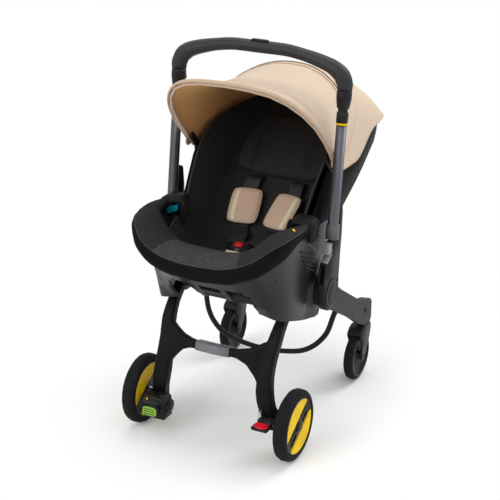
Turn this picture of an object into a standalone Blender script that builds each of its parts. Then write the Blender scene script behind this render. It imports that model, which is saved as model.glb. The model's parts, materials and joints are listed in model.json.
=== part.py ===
"""Car seat stroller: an infant car seat on a folding wheeled frame, modelled at real size.

Units are metres, +Z is up, +Y points to the head end of the seat and +X to the side with the red
brake pedal.
All places are written from the axle of the big wheels (Y = 0) and the floor (Z = 0). One root
empty then moves everything, so that the object stands centred on the world origin.
"""
import math

import bmesh
import bpy
from mathutils import Matrix, Vector

# Clearances
GAP = 0.0003            # between faces that rest on each other
RUN = 0.0010            # running clearance of a turning part
SOFT_GAP = 0.0006       # between fabric and the shell it lies in

# Foremost point of the padded rim
FOOT_END_Y = -0.1222

# Big wheels
WHEEL_R = 0.0878
TYRE_W = 0.0345
TYRE_DEPTH = 0.0190
WHEEL_OUT_X = 0.2209
WHEEL_X = WHEEL_OUT_X - TYRE_W / 2
AXLE_R = 0.0060
WEB_T = 0.0240

# Casters
CASTER_R = 0.0660
CASTER_W = 0.0260
CASTER_TYRE = 0.0150
CASTER_X = 0.1830
CASTER_AXLE_Y = 0.4424
CASTER_TRAIL = 0.0290
STEM_Y = CASTER_AXLE_Y + CASTER_TRAIL
STEM_R = 0.0070
FORK_T = 0.0050
FORK_GAP = 0.0020
FORK_TOP_Z = 0.1500
CASTER_AXLE_R = 0.0040

# Hub, the axis that legs, caster arms and handle share
HUB_Y = 0.1650
HUB_Z = 0.3650
PIN_R = 0.0080
PIN_HEAD_R = 0.0125
LEG_PLATE_X = 0.1470
DRUM_R = 0.0450
DRUM_IN_X = 0.1720
DRUM_OUT_X = 0.1925
CASTER_ARM_T = 0.0105
CASTER_ARM_IN_X = DRUM_OUT_X + 0.0005
CASTER_ARM_OUT_X = CASTER_ARM_IN_X + CASTER_ARM_T
ARM_IN_X = CASTER_ARM_OUT_X + 0.0005
ARM_T = 0.0185
ARM_OUT_X = ARM_IN_X + ARM_T
DISC_R = 0.0340
DISC_T = 0.0032
DISC_SINK = 0.0012

# Handle
TUBE_X = 0.2155
TUBE_R = 0.0125
TUBE_WALL = 0.0015
TUBE_FOOT = (0.1745, 0.5000)      # Y, Z of the tube's lower end
TUBE_LEAN = math.radians(8.3)     # towards the head end, going up
TUBE_LENGTH = 0.2700
STEM_TUBE_R = 0.0105
STEM_HIDDEN = 0.1900              # stem left inside the tube when pushed in
RING_H = 0.0045
COLLAR_R = 0.0158
COLLAR_H = 0.0340
CONNECTOR_TOP = 0.3500            # along the tube from its lower end
GRIP_TOP_Z = 0.9220
GRIP_MID_R = 0.0150
GRIP_END_R = 0.0205

# Seat walls and cloth
SHELL_T = 0.0040
HOUSING_T = 0.0035
LINER_T = 0.0090
CANOPY_T = 0.0024
CANOPY_PIVOT_Y = 0.2500
CANOPY_PIVOT_Z = 0.6450
BOW_R = 0.0032

# Link bar
LINK_R = 0.0068

# Materials: colour, roughness, metallic
LOOKS = {
    "black_plastic": ((0.018, 0.018, 0.020), 0.55, 0.0),
    "grey_plastic": ((0.060, 0.061, 0.065), 0.50, 0.0),
    "light_plastic": ((0.280, 0.285, 0.290), 0.45, 0.0),
    "slate_metal": ((0.095, 0.098, 0.108), 0.38, 0.75),
    "steel": ((0.420, 0.420, 0.430), 0.35, 1.0),
    "rubber": ((0.014, 0.014, 0.015), 0.80, 0.0),
    "yellow": ((0.780, 0.560, 0.020), 0.45, 0.0),
    "green": ((0.120, 0.260, 0.020), 0.55, 0.0),
    "red": ((0.420, 0.015, 0.020), 0.45, 0.0),
    "teal": ((0.010, 0.260, 0.330), 0.40, 0.0),
    "black_cloth": ((0.012, 0.012, 0.013), 0.95, 0.0),
    "grey_cloth": ((0.028, 0.029, 0.031), 0.95, 0.0),
    "sand_cloth": ((0.560, 0.410, 0.280), 0.95, 0.0),
    "webbing": ((0.015, 0.015, 0.016), 0.85, 0.0),
    "leatherette": ((0.022, 0.022, 0.024), 0.60, 0.0),
}

for old in list(bpy.data.objects):
    bpy.data.objects.remove(old)
parts = bpy.data.collections.new("car_seat_stroller")
cutters = bpy.data.collections.new("cutters")
for group in (parts, cutters):
    bpy.context.scene.collection.children.link(group)

materials = {}
for look, (colour, roughness, metallic) in LOOKS.items():
    finish = bpy.data.materials.new(look)
    finish.use_nodes = True
    shader = finish.node_tree.nodes["Principled BSDF"]
    shader.inputs["Base Color"].default_value = (*colour, 1.0)
    shader.inputs["Roughness"].default_value = roughness
    shader.inputs["Metallic"].default_value = metallic
    finish.diffuse_color = (*colour, 1.0)
    materials[look] = finish


def pivot(name, place, parent=None):
    """An empty on a joint's axis, at a place given from the wheel axle and the floor."""
    empty = bpy.data.objects.new(name, None)
    empty.empty_display_size = 0.02
    bpy.context.scene.collection.objects.link(empty)
    empty.parent = parent
    base = Vector(parent["place"]) if parent else Vector((0, 0, 0))
    empty.location = Vector(place) - base
    empty["place"] = tuple(place)
    return empty


root = pivot("stroller_frame", (0, 0, 0))


def add(name, mesh, look, parent=None):
    """Puts a mesh, drawn in axle coordinates, into the object's collection under its joint's empty."""
    piece = bpy.data.objects.new(name, mesh)
    mesh.materials.clear()
    mesh.materials.append(materials[look])
    parts.objects.link(piece)
    piece.parent = parent or root
    piece.location = -Vector((parent or root)["place"])
    return piece


def add_cutter(name, mesh):
    """A guide solid that only cuts others."""
    piece = bpy.data.objects.new(name, mesh)
    cutters.objects.link(piece)
    piece.hide_render = True
    piece.display_type = "WIRE"
    piece.parent = root
    return piece


def finish_mesh(bm, name, smooth=40):
    """Turns a bmesh into a mesh with outward faces, shaded smooth below the given angle."""
    bmesh.ops.remove_doubles(bm, verts=bm.verts, dist=1e-6)
    bmesh.ops.recalc_face_normals(bm, faces=bm.faces)
    mesh = bpy.data.meshes.new(name)
    bm.to_mesh(mesh)
    bm.free()
    mesh.shade_smooth()
    mesh.set_sharp_from_angle(angle=math.radians(smooth))
    return mesh


def frozen(piece, name):
    """The evaluated mesh of an object, as a mesh of its own."""
    bpy.context.view_layer.update()
    graph = bpy.context.evaluated_depsgraph_get()
    mesh = bpy.data.meshes.new_from_object(piece.evaluated_get(graph))
    mesh.name = name
    return mesh


def mirrored(mesh, name):
    """The same mesh on the other side of the seat."""
    twin = mesh.copy()
    twin.name = name
    twin.transform(Matrix.Scale(-1, 4, (1, 0, 0)))
    twin.flip_normals()
    return twin


def both(base, mesh, look, parent_right=None, parent_left=None):
    """A right piece at +X and its twin at -X, as two objects."""
    right = add(base + "_right", mesh, look, parent_right)
    left = add(base + "_left", mirrored(mesh, base), look, parent_left or parent_right)
    return right, left


def tube_mesh(name, points, radius, radii=None, cyclic=False, resolution=3, smooth_path=True, steps=4):
    """A round bar along a path, with closed ends."""
    line = bpy.data.curves.new(name, "CURVE")
    line.dimensions = "3D"
    line.bevel_depth = radius
    line.bevel_resolution = resolution
    line.use_fill_caps = not cyclic
    path = spline_points(points, steps) if smooth_path else [Vector(p) for p in points]
    spline = line.splines.new("POLY")
    spline.points.add(len(path) - 1)
    spline.use_cyclic_u = cyclic
    for i, spot in enumerate(path):
        spline.points[i].co = (*spot, 1)
        if radii:
            share = i / (len(path) - 1) * (len(radii) - 1)
            low = min(int(share), len(radii) - 2)
            spline.points[i].radius = (radii[low] + (radii[low + 1] - radii[low]) * (share - low)) / radius
    holder = bpy.data.objects.new(name, line)
    bpy.context.scene.collection.objects.link(holder)
    mesh = frozen(holder, name)
    bpy.data.objects.remove(holder)
    bm = bmesh.new()
    bm.from_mesh(mesh)
    return finish_mesh(bm, name)


def spline_points(points, steps):
    """Points on a smooth curve that passes through the given ones."""
    spots = [Vector(p) for p in points]
    path = []
    for i in range(len(spots) - 1):
        before = spots[max(i - 1, 0)]
        after = spots[min(i + 2, len(spots) - 1)]
        for step in range(steps):
            t = step / steps
            a, b = spots[i], spots[i + 1]
            path.append(0.5 * ((2 * a) + (b - before) * t + (2 * before - 5 * a + 4 * b - after) * t * t
                               + (3 * a - before - 3 * b + after) * t ** 3))
    path.append(spots[-1])
    return path


def two_sided(half, middle, steps, end):
    """A path from the right side through the middle to the left side, smooth between straight ends."""
    path = spline_points(half + middle + [(-x, y, z) for x, y, z in reversed(half)], steps)
    return [end] + path + [(-end[0], end[1], end[2])]


def plate_mesh(name, outline, thickness, middle_x, holes=(), bevel=0.0):
    """A flat plate whose outline is drawn in Y and Z, lying across X, with round holes (Y, Z, radius)."""
    line = bpy.data.curves.new(name, "CURVE")
    line.dimensions = "2D"
    line.fill_mode = "BOTH"
    line.extrude = thickness / 2
    loops = [outline] + [circle(y, z, r, 16) for y, z, r in holes]
    for loop in loops:
        spline = line.splines.new("POLY")
        spline.points.add(len(loop) - 1)
        spline.use_cyclic_u = True
        for i, (y, z) in enumerate(loop):
            spline.points[i].co = (y, z, 0, 1)
    holder = bpy.data.objects.new(name, line)
    bpy.context.scene.collection.objects.link(holder)
    mesh = frozen(holder, name)
    bpy.data.objects.remove(holder)
    mesh.transform(Matrix(((0, 0, 1, middle_x), (1, 0, 0, 0), (0, 1, 0, 0), (0, 0, 0, 1))))
    bm = bmesh.new()
    bm.from_mesh(mesh)
    bmesh.ops.remove_doubles(bm, verts=bm.verts, dist=1e-6)
    if bevel:
        def in_hole(spot):
            return any(math.hypot(spot.y - y, spot.z - z) < 1.05 * r for y, z, r in holes)

        edges = [e for e in bm.edges if len(e.link_faces) == 2 and e.calc_face_angle(0) > 0.6
                 and abs(e.verts[0].co.x - e.verts[1].co.x) < 1e-6 and not in_hole(e.verts[0].co)]
        bmesh.ops.bevel(bm, geom=edges, offset=bevel, segments=1, affect="EDGES", clamp_overlap=True)
    return finish_mesh(bm, name)


def circle(y, z, radius, count, start=0.0, sweep=2 * math.pi, end=False):
    """Points on an arc, for outlines in Y and Z."""
    spans = count - 1 if end else count
    return [(y + radius * math.cos(start + sweep * i / spans),
             z + radius * math.sin(start + sweep * i / spans))
            for i in range(count)]


def turned_mesh(name, profile, place, axis="X", steps=32):
    """A turned piece: (radius, height) down its outer side, spun round the axis through a place."""
    base = bpy.data.meshes.new(name)
    closed = profile[0][0] > 1e-6 or profile[-1][0] > 1e-6
    spots = [(r, 0, h) for r, h in profile]
    edges = [(i, i + 1) for i in range(len(spots) - 1)]
    if closed:
        edges.append((len(spots) - 1, 0))
    base.from_pydata(spots, edges, [])
    holder = bpy.data.objects.new(name, base)
    bpy.context.scene.collection.objects.link(holder)
    screw = holder.modifiers.new("turn", "SCREW")
    screw.steps = steps
    screw.render_steps = steps
    screw.use_merge_vertices = True
    screw.merge_threshold = 1e-5
    mesh = frozen(holder, name)
    bpy.data.objects.remove(holder)
    turn = {"X": Matrix.Rotation(math.pi / 2, 4, "Y"), "Y": Matrix.Rotation(-math.pi / 2, 4, "X"),
            "Z": Matrix.Identity(4), "T": Matrix.Rotation(-TUBE_LEAN, 4, "X")}[axis]
    mesh.transform(Matrix.Translation(place) @ turn)
    bm = bmesh.new()
    bm.from_mesh(mesh)
    return finish_mesh(bm, name, 35)


def rod(radius, low, high, chamfer=0.0008):
    """The profile of a plain round bar with broken edges, for turned_mesh."""
    return [(0, high), (radius - chamfer, high), (radius, high - chamfer), (radius, low + chamfer),
            (radius - chamfer, low), (0, low)]


def block_mesh(name, low, high, bevel=0.0015, segments=2, turn=None):
    """A rounded block between two corners, turned about its own middle if asked."""
    low, high = Vector(low), Vector(high)
    bm = bmesh.new()
    bmesh.ops.create_cube(bm, size=1)
    bmesh.ops.scale(bm, vec=high - low, verts=bm.verts)
    if bevel:
        bmesh.ops.bevel(bm, geom=list(bm.edges), offset=bevel, segments=segments, affect="EDGES",
                        clamp_overlap=True)
    if turn:
        bmesh.ops.rotate(bm, cent=(0, 0, 0), matrix=turn, verts=bm.verts)
    bmesh.ops.translate(bm, vec=(low + high) / 2, verts=bm.verts)
    return finish_mesh(bm, name)


def loft_mesh(name, rings, smooth=50):
    """A closed body through rings of equal point counts, capped at both ends."""
    bm = bmesh.new()
    rows = [[bm.verts.new(spot) for spot in ring] for ring in rings]
    count = len(rows[0])
    for a, b in zip(rows, rows[1:]):
        for j in range(count):
            bm.faces.new((a[j], a[(j + 1) % count], b[(j + 1) % count], b[j]))
    bm.faces.new(rows[0])
    bm.faces.new(list(reversed(rows[-1])))
    return finish_mesh(bm, name, smooth)


def sheet_bmesh(rows, mirror=True):
    """An open surface through rows of points, with its twin half joined at X = 0."""
    bm = bmesh.new()
    grid = [[bm.verts.new(spot) for spot in row] for row in rows]
    for a, b in zip(grid, grid[1:]):
        for j in range(len(a) - 1):
            bm.faces.new((a[j], a[j + 1], b[j + 1], b[j]))
    if mirror:
        bmesh.ops.mirror(bm, geom=list(bm.verts) + list(bm.edges) + list(bm.faces), axis="X", merge_dist=1e-5)
    bmesh.ops.remove_doubles(bm, verts=bm.verts, dist=1e-6)
    bmesh.ops.dissolve_degenerate(bm, edges=bm.edges, dist=1e-6)
    bmesh.ops.recalc_face_normals(bm, faces=bm.faces)
    return bm


def fine_rows(rows, along, across):
    """Rows of points made finer both ways by smooth curves."""
    wide = [spline_points(row, across) for row in rows]
    columns = [spline_points(column, along) for column in zip(*wide)]
    return [list(row) for row in zip(*columns)]


def lengthened(rows, extra):
    """Rows whose two end points are moved outward along the row, so that a keepout passes the wall's edges."""
    longer = []
    for row in rows:
        spots = [Vector(p) for p in row]
        head = (spots[0] - spots[1]).normalized() * extra
        longer.append([spots[0] + head] + spots[1:])
    return longer


def thick_mesh(name, bm, near, far, smooth=50):
    """A wall between two distances from an open surface, the same way everywhere."""
    bm.normal_update()
    verts = list(bm.verts)
    normals = [v.normal.copy() for v in verts]
    spots = [v.co.copy() for v in verts]
    faces = [[v.index for v in f.verts] for f in bm.faces]
    rims = [[v.index for v in e.verts] for e in bm.edges if len(e.link_faces) == 1]
    owners = {tuple(sorted(v.index for v in e.verts)): e.link_faces[0] for e in bm.edges if len(e.link_faces) == 1}
    order = {f: [v.index for v in f.verts] for f in bm.faces}
    out = bmesh.new()
    first = [out.verts.new(s + n * near) for s, n in zip(spots, normals)]
    second = [out.verts.new(s + n * far) for s, n in zip(spots, normals)]
    for face in faces:
        out.faces.new([first[i] for i in reversed(face)])
        out.faces.new([second[i] for i in face])
    for i, j in rims:
        loop = order[owners[tuple(sorted((i, j)))]]
        a, b = (i, j) if loop[(loop.index(i) + 1) % len(loop)] == j else (j, i)
        out.faces.new((first[a], first[b], second[b], second[a]))
    bm.free()
    return finish_mesh(out, name, smooth)


def cut(piece, cutter, operation="DIFFERENCE"):
    """A Boolean on a finished piece."""
    change = piece.modifiers.new("cut", "BOOLEAN")
    change.object = cutter
    change.operation = operation
    change.solver = "EXACT"


def carve(mesh, cutter_meshes, name, operation="DIFFERENCE"):
    """A mesh after Booleans with others, kept as a mesh, for pieces that are then mirrored."""
    holder = bpy.data.objects.new(name, mesh)
    bpy.context.scene.collection.objects.link(holder)
    tools = []
    for i, tool_mesh in enumerate(cutter_meshes):
        tool = bpy.data.objects.new(name + "_tool", tool_mesh)
        bpy.context.scene.collection.objects.link(tool)
        cut(holder, tool, operation)
        tools.append(tool)
    result = frozen(holder, name)
    for thing in tools + [holder]:
        bpy.data.objects.remove(thing)
    bm = bmesh.new()
    bm.from_mesh(result)
    bmesh.ops.dissolve_degenerate(bm, edges=bm.edges, dist=1e-6)
    return finish_mesh(bm, name)


# Joint axes
hub_axis = pivot("hub_axis", (0, HUB_Y, HUB_Z), root)
handle_axis = pivot("handle_axis", (0, HUB_Y, HUB_Z), root)
slide_axis = pivot("slide_axis", (0, *TUBE_FOOT), handle_axis)
arms_axis = pivot("caster_arms_axis", (0, HUB_Y, HUB_Z), root)
canopy_axis = pivot("canopy_axis", (0, CANOPY_PIVOT_Y, CANOPY_PIVOT_Z), root)


# Seat tub: from the foot end (row 0) round the side to the head end, levels from the rim to the keel
TUB = [
    [(0, -.060, .452), (0, -.03, .42), (0, 0, .39), (0, .045, .365), (0, .08, .335), (0, .08, .335)],
    [(.080, -.056, .455), (.078, -.027, .42), (.075, 0, .39), (.068, .045, .365), (.06, .08, .335),
     (0, .095, .328)],
    [(.128, -.040, .472), (.122, -.012, .43), (.112, .01, .40), (.10, .05, .366), (.09, .085, .334),
     (0, .105, .323)],
    [(.155, -.010, .492), (.147, .01, .44), (.130, .03, .405), (.118, .07, .366), (.108, .10, .330),
     (0, .115, .319)],
    [(.165, .030, .500), (.157, .04, .445), (.134, .055, .41), (.124, .09, .366), (.115, .115, .324),
     (0, .125, .316)],
    [(.168, .080, .505), (.161, .085, .445), (.136, .095, .41), (.126, .12, .366), (.118, .14, .318),
     (0, .145, .312)],
    [(.170, .130, .515), (.165, .14, .45), (.138, .15, .415), (.124, .165, .366), (.119, .17, .315),
     (0, .17, .310)],
    [(.176, .195, .600), (.171, .205, .50), (.156, .215, .44), (.135, .225, .385), (.121, .215, .322),
     (0, .21, .316)],
    [(.1805, .250, .660), (.1765, .262, .545), (.168, .275, .48), (.145, .285, .425), (.125, .26, .345),
     (0, .25, .336)],
    [(.1805, .330, .652), (.177, .34, .575), (.170, .352, .520), (.149, .357, .475), (.124, .315, .40),
     (0, .305, .39)],
    [(.178, .410, .652), (.175, .425, .600), (.168, .438, .556), (.148, .434, .525), (.115, .375, .47),
     (0, .36, .455)],
    [(.172, .500, .690), (.169, .517, .638), (.162, .530, .598), (.140, .513, .570), (.10, .43, .53),
     (0, .415, .52)],
    [(.153, .603, .692), (.152, .612, .660), (.147, .616, .628), (.125, .582, .600), (.08, .48, .567),
     (0, .455, .555)],
    [(.112, .6490, .690), (.111, .652, .660), (.106, .646, .630), (.088, .608, .608), (.05, .51, .578),
     (0, .49, .574)],
    [(0, .660, .688), (0, .66, .66), (0, .652, .632), (0, .615, .611), (0, .52, .582), (0, .52, .582)],
]
ALONG = 2


def tub_surface(extra=0.0):
    """The outer surface of the tub, its edges lengthened by a little where it cuts something."""
    return sheet_bmesh(lengthened(fine_rows(TUB, ALONG, 1), extra))


def facing_out(bm, inside):
    """Turns an open surface so that its faces look away from a point inside."""
    away = sum((f.normal.dot(f.calc_center_median() - Vector(inside)) for f in bm.faces))
    if away < 0:
        bmesh.ops.reverse_faces(bm, faces=bm.faces)
    return bm


TUB_HEART = (0, .28, .58)
pin_hole = turned_mesh("pin_hole", rod(PIN_R + RUN, .12, .26, 0), (0, HUB_Y, HUB_Z), "X", 16)
seat_shell = add("seat_shell", thick_mesh("seat_shell", facing_out(tub_surface(), TUB_HEART), 0, -SHELL_T),
                 "grey_plastic")
shell_keep = add_cutter("shell_keepout", thick_mesh("shell_keepout",
                                                    facing_out(tub_surface(SOFT_GAP), TUB_HEART),
                                                    SOFT_GAP, -SHELL_T - SOFT_GAP))

# Lower housing: the skirt round the foot end that hides the leg pivots
HOUSING = [
    [(0, -.082, .462), (0, -.052, .42), (0, -.025, .385), (0, .012, .356)],
    [(.08, -.079, .466), (.08, -.048, .42), (.078, -.020, .38), (.075, .013, .353)],
    [(.135, -.062, .486), (.130, -.030, .43), (.124, -.008, .38), (.117, .015, .347)],
    [(.170, -.034, .509), (.163, -.010, .44), (.157, .004, .38), (.1515, .012, .342)],
    [(.1845, .010, .522), (.178, .025, .45), (.1735, .033, .38), (.1700, .039, .334)],
    [(.188, .060, .530), (.183, .072, .45), (.1785, .085, .38), (.1760, .097, .313)],
    [(.188, .120, .533), (.184, .128, .45), (.180, .138, .38), (.1778, .147, .299)],
    [(.188, .180, .533), (.184, .184, .45), (.180, .190, .38), (.1778, .192, .290)],
    [(.188, .212, .530), (.184, .212, .45), (.180, .213, .39), (.1775, .212, .330)],
]
HOUSING_HEART = (0, .15, .42)


def housing_surface(extra=0.0):
    """The outer surface of the lower housing, its edges lengthened where it cuts something."""
    return facing_out(sheet_bmesh(lengthened(fine_rows(HOUSING, ALONG, 1), extra)), HOUSING_HEART)


housing = add("base_housing", thick_mesh("base_housing", housing_surface(), 0, -HOUSING_T), "grey_plastic")
housing_keep = add_cutter("housing_keepout", thick_mesh("housing_keepout", housing_surface(SOFT_GAP),
                                                        SOFT_GAP,
                                                        -HOUSING_T - SOFT_GAP))
PIN_IN_X = .1330
PIN_HEAD_T = .0025
drum = turned_mesh("drum", rod(DRUM_R, DRUM_IN_X, DRUM_OUT_X, .002), (0, HUB_Y, HUB_Z), "X", 24)
FOOT_SLOT_LOW = (-.105, -.12, .300)
FOOT_SLOT_HIGH = (.105, .06, .426)
foot_slot = block_mesh("foot_slot", FOOT_SLOT_LOW, FOOT_SLOT_HIGH, .012, 2)
drum_right = add_cutter("hub_drum_right_add", drum)
drum_left = add_cutter("hub_drum_left_add", mirrored(drum, "drum_left"))
cut(housing, drum_right, "UNION")
cut(housing, drum_left, "UNION")
cut(housing, add_cutter("foot_slot_cut", foot_slot))
cut(housing, add_cutter("pin_hole_right", pin_hole))
cut(housing, add_cutter("pin_hole_left", mirrored(pin_hole, "pin_hole_left")))

# Two rails and their tie in the slot under the foot end
RAIL_W = .014
RAIL_X = .034
RAIL_OUTLINE = [(-.0518, .4306), (-.0473, .4351), (.0143, .3740), (.0098, .3690)]
TIE_OUTLINE = [(-.0202, .3990), (-.0155, .4040), (-.0077, .3960), (-.0122, .3910)]
rail_right = plate_mesh("rail", RAIL_OUTLINE, RAIL_W, RAIL_X)
base_rail = add("base_rail", plate_mesh("rail_left", RAIL_OUTLINE, RAIL_W, -RAIL_X), "black_plastic")
cut(base_rail, add_cutter("rail_right_add", rail_right), "UNION")
cut(base_rail, add_cutter("rail_tie_add", plate_mesh("tie", TIE_OUTLINE, 2 * RAIL_X, 0)), "UNION")

# Hub pins: pivot bolts whose broad flat heads are the discs on the handle arms
pin_profile = [(0, ARM_OUT_X + DISC_T - DISC_SINK), (DISC_R - .003, ARM_OUT_X + DISC_T - DISC_SINK),
               (DISC_R, ARM_OUT_X + DISC_T - DISC_SINK - .0018), (DISC_R, ARM_OUT_X - DISC_SINK),
               (PIN_R, ARM_OUT_X - DISC_SINK), (PIN_R, PIN_IN_X + PIN_HEAD_T),
               (PIN_HEAD_R, PIN_IN_X + PIN_HEAD_T),
               (PIN_HEAD_R, PIN_IN_X), (0, PIN_IN_X)]
both("hub_pin", turned_mesh("hub_pin", pin_profile, (0, HUB_Y, HUB_Z), "X", 24), "slate_metal", handle_axis)

# Leg frame: two bowed legs and a crossbar, one casting
LEG = [  # Y, Z, middle X, half width, half thickness
    (HUB_Y, HUB_Z, LEG_PLATE_X, .0110, .0180),
    (.125, .359, LEG_PLATE_X, .0110, .0175),
    (.088, .343, .1460, .0115, .0150),
    (.054, .316, .1445, .0125, .0140),
    (.026, .282, .1420, .0150, .0150),
    (.009, .245, .1370, .0165, .0150),
    (-.008, .205, .1355, .0180, .0150),
    (-.018, .165, .1375, .0200, .0150),
    (-.017, .125, .1440, .0190, .0155),
    (-.004, WHEEL_R + .004, .1530, .0180, .0165),
    (.001, WHEEL_R - .021, .1555, .0165, .0140),
]


def bar_ring(middle, side, thick, half_w, half_t, corner=.25):
    """An eight-cornered section across a bar."""
    middle, side, thick = Vector(middle), Vector(side), Vector(thick)
    c = 1 - corner
    signs = [(1, c), (c, 1), (-c, 1), (-1, c), (-1, -c), (-c, -1), (c, -1), (1, -c)]
    return [middle + side * half_w * a + thick * half_t * b for a, b in signs]


def leg_rings(grow=0.0):
    """Sections of the right leg from its hub plate down to its foot, or of the space it takes when grown."""
    rings = []
    fine = spline_points([(x, y, z) for y, z, x, w, t in LEG], 2)
    sizes = spline_points([(w, t, 0) for y, z, x, w, t in LEG], 2)
    for i, (spot, size) in enumerate(zip(fine, sizes)):
        ahead = fine[min(i + 1, len(fine) - 1)] - fine[max(i - 1, 0)]
        flow = Vector((0, ahead.y, ahead.z)).normalized()
        rings.append(bar_ring(spot, (1, 0, 0), flow.cross(Vector((1, 0, 0))), size.x + grow, size.y + grow))
    return rings


CROSS = [  # X, Y, Z, half height, half depth
    (0, -.012, .2475, .0085, .0110),
    (.030, -.011, .2475, .0085, .0110),
    (.062, -.008, .2470, .0110, .0115),
    (.088, -.005, .2440, .0200, .0122),
    (.108, -.002, .2370, .0370, .0125),
    (.121, .000, .2310, .0510, .0120),
    (.132, .001, .2300, .0560, .0110),
]
CROSS_UP = Vector((0, .30, .954)).normalized()


def cross_rings():
    """Sections of the crossbar from the left leg to the right one."""
    rings = []
    points = [(x, y, z, h, d) for x, y, z, h, d in CROSS]
    mirrored_points = [(-x, y, z, h, d) for x, y, z, h, d in reversed(points[1:])]
    for x, y, z, h, d in mirrored_points + points:
        rings.append(bar_ring((x, y, z), CROSS_UP, CROSS_UP.cross(Vector((1, 0, 0))), h, d))
    return rings


leg_right = loft_mesh("leg_right", leg_rings())
axle_hole = turned_mesh("axle_hole", rod(AXLE_R + GAP, .10, .30, 0), (0, 0, WHEEL_R), "X", 16)
leg_frame = add("leg_frame", loft_mesh("leg_frame", cross_rings()), "black_plastic", hub_axis)
cut(leg_frame, add_cutter("leg_right_add", leg_right), "UNION")
cut(leg_frame, add_cutter("leg_left_add", mirrored(leg_right, "leg_left")), "UNION")
for side, name in ((1, "right"), (-1, "left")):
    for hole, what in ((pin_hole, "leg_pin_"), (axle_hole, "leg_axle_")):
        shape = hole if side > 0 else mirrored(hole, what)
        cut(leg_frame, add_cutter(what + name, shape))

leg_keep_right = loft_mesh("leg_keepout", leg_rings(GAP))
leg_keep = add_cutter("leg_keepout", carve(leg_keep_right, [mirrored(leg_keep_right, "leg_keepout_left")],
                                           "leg_keepout", "UNION"))

# Sleeve of smooth metal round the middle of the crossbar
SLEEVE_HALF = .0440
sleeve_ring = []
for x in (-SLEEVE_HALF, -.030, 0, .030, SLEEVE_HALF):
    share = abs(x) / SLEEVE_HALF
    sleeve_ring.append(bar_ring((x, -.012 + .0022 * share, .2475), CROSS_UP,
                                CROSS_UP.cross(Vector((1, 0, 0))),
                                .0118, .0142))
sleeve = add("crossbar_sleeve", loft_mesh("crossbar_sleeve", sleeve_ring), "grey_plastic", hub_axis)
cross_keep = loft_mesh("crossbar_keepout", [
    bar_ring((x, y, z), CROSS_UP, CROSS_UP.cross(Vector((1, 0, 0))), h + GAP, d + GAP)
    for x, y, z, h, d in [(-a, b, c, e, g) for a, b, c, e, g in reversed(CROSS[1:])] + CROSS])
cut(sleeve, add_cutter("crossbar_keepout", cross_keep))

# Big wheels
tyre_half = TYRE_W / 2
tyre_in_r = WHEEL_R - TYRE_DEPTH
tyre_profile = [(WHEEL_R - .0100, tyre_half), (WHEEL_R - .0035, tyre_half - .0040),
                (WHEEL_R - .0006, tyre_half - .0100),
                (WHEEL_R, 0), (WHEEL_R - .0006, -tyre_half + .0100), (WHEEL_R - .0035, -tyre_half + .0040),
                (WHEEL_R - .0100, -tyre_half), (tyre_in_r, -tyre_half + .0010),
                (tyre_in_r, tyre_half - .0010)]
rim_r = tyre_in_r - GAP
WEB_FACE = WEB_T / 2
LIP_FACE = tyre_half - .0020
HUB_FACE = tyre_half - .0030
HUB_R = .0190
BORE_R = AXLE_R + RUN / 2
LIP_T = .0040
wheel_profile = [(BORE_R, HUB_FACE), (HUB_R, HUB_FACE), (HUB_R, WEB_FACE), (rim_r - LIP_T, WEB_FACE),
                 (rim_r - LIP_T, LIP_FACE), (rim_r, LIP_FACE), (rim_r, -LIP_FACE), (rim_r - LIP_T, -LIP_FACE),
                 (rim_r - LIP_T, -WEB_FACE), (HUB_R, -WEB_FACE), (HUB_R, -HUB_FACE), (BORE_R, -HUB_FACE)]
wheel_axis = {}
WHEEL_STEPS = 28
CASTER_STEPS = 22

# Yellow insets: two crescents either side of a slanting spoke, joined by a thin ring inside the web
CRESCENT_OUT_R = rim_r - LIP_T - .0010
CRESCENT_IN_R = .0235
CRESCENT_HALF = math.radians(67)
SPOKE_TURN = math.radians(31)
INSET_SINK = .0010
RING_IN_R, RING_OUT_R, RING_T = HUB_R + .0015, .0330, .0030


def crescent(turn, grow=0.0):
    """Outline of one crescent, between the rim and a flatter inner arc."""
    out_r = CRESCENT_OUT_R + grow
    half = CRESCENT_HALF + grow / out_r
    outer = circle(0, 0, out_r, 10, turn - half, 2 * half, True)
    (y0, z0), (y1, z1) = outer[-1], outer[0]
    bow = out_r * math.cos(half) - (CRESCENT_IN_R - grow)
    inner = []
    for i in range(1, 6):
        t = i / 6
        y, z = y0 + (y1 - y0) * t, z0 + (z1 - z0) * t
        deep = math.sin(math.pi * t) * bow
        inner.append((y - math.cos(turn) * deep, z - math.sin(turn) * deep))
    return outer + inner


def crescents_and_ring(side, grow):
    """The inset's three parts as meshes, or the pocket that they fill when grown."""
    middle = side * WHEEL_X
    through = WEB_T - 2 * INSET_SINK if not grow else WEB_T + .004
    shapes = [plate_mesh("crescent", [(y, WHEEL_R + z) for y, z in crescent(turn, grow)], through, middle)
              for turn in (SPOKE_TURN + math.pi / 2, SPOKE_TURN - math.pi / 2)]
    high = RING_T / 2 + grow
    ring = [(RING_OUT_R + grow, high), (RING_OUT_R + grow, -high), (RING_IN_R - grow, -high),
            (RING_IN_R - grow, high)]
    shapes.append(turned_mesh("ring", ring, (middle, 0, WHEEL_R), "X", 24))
    return shapes


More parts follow.
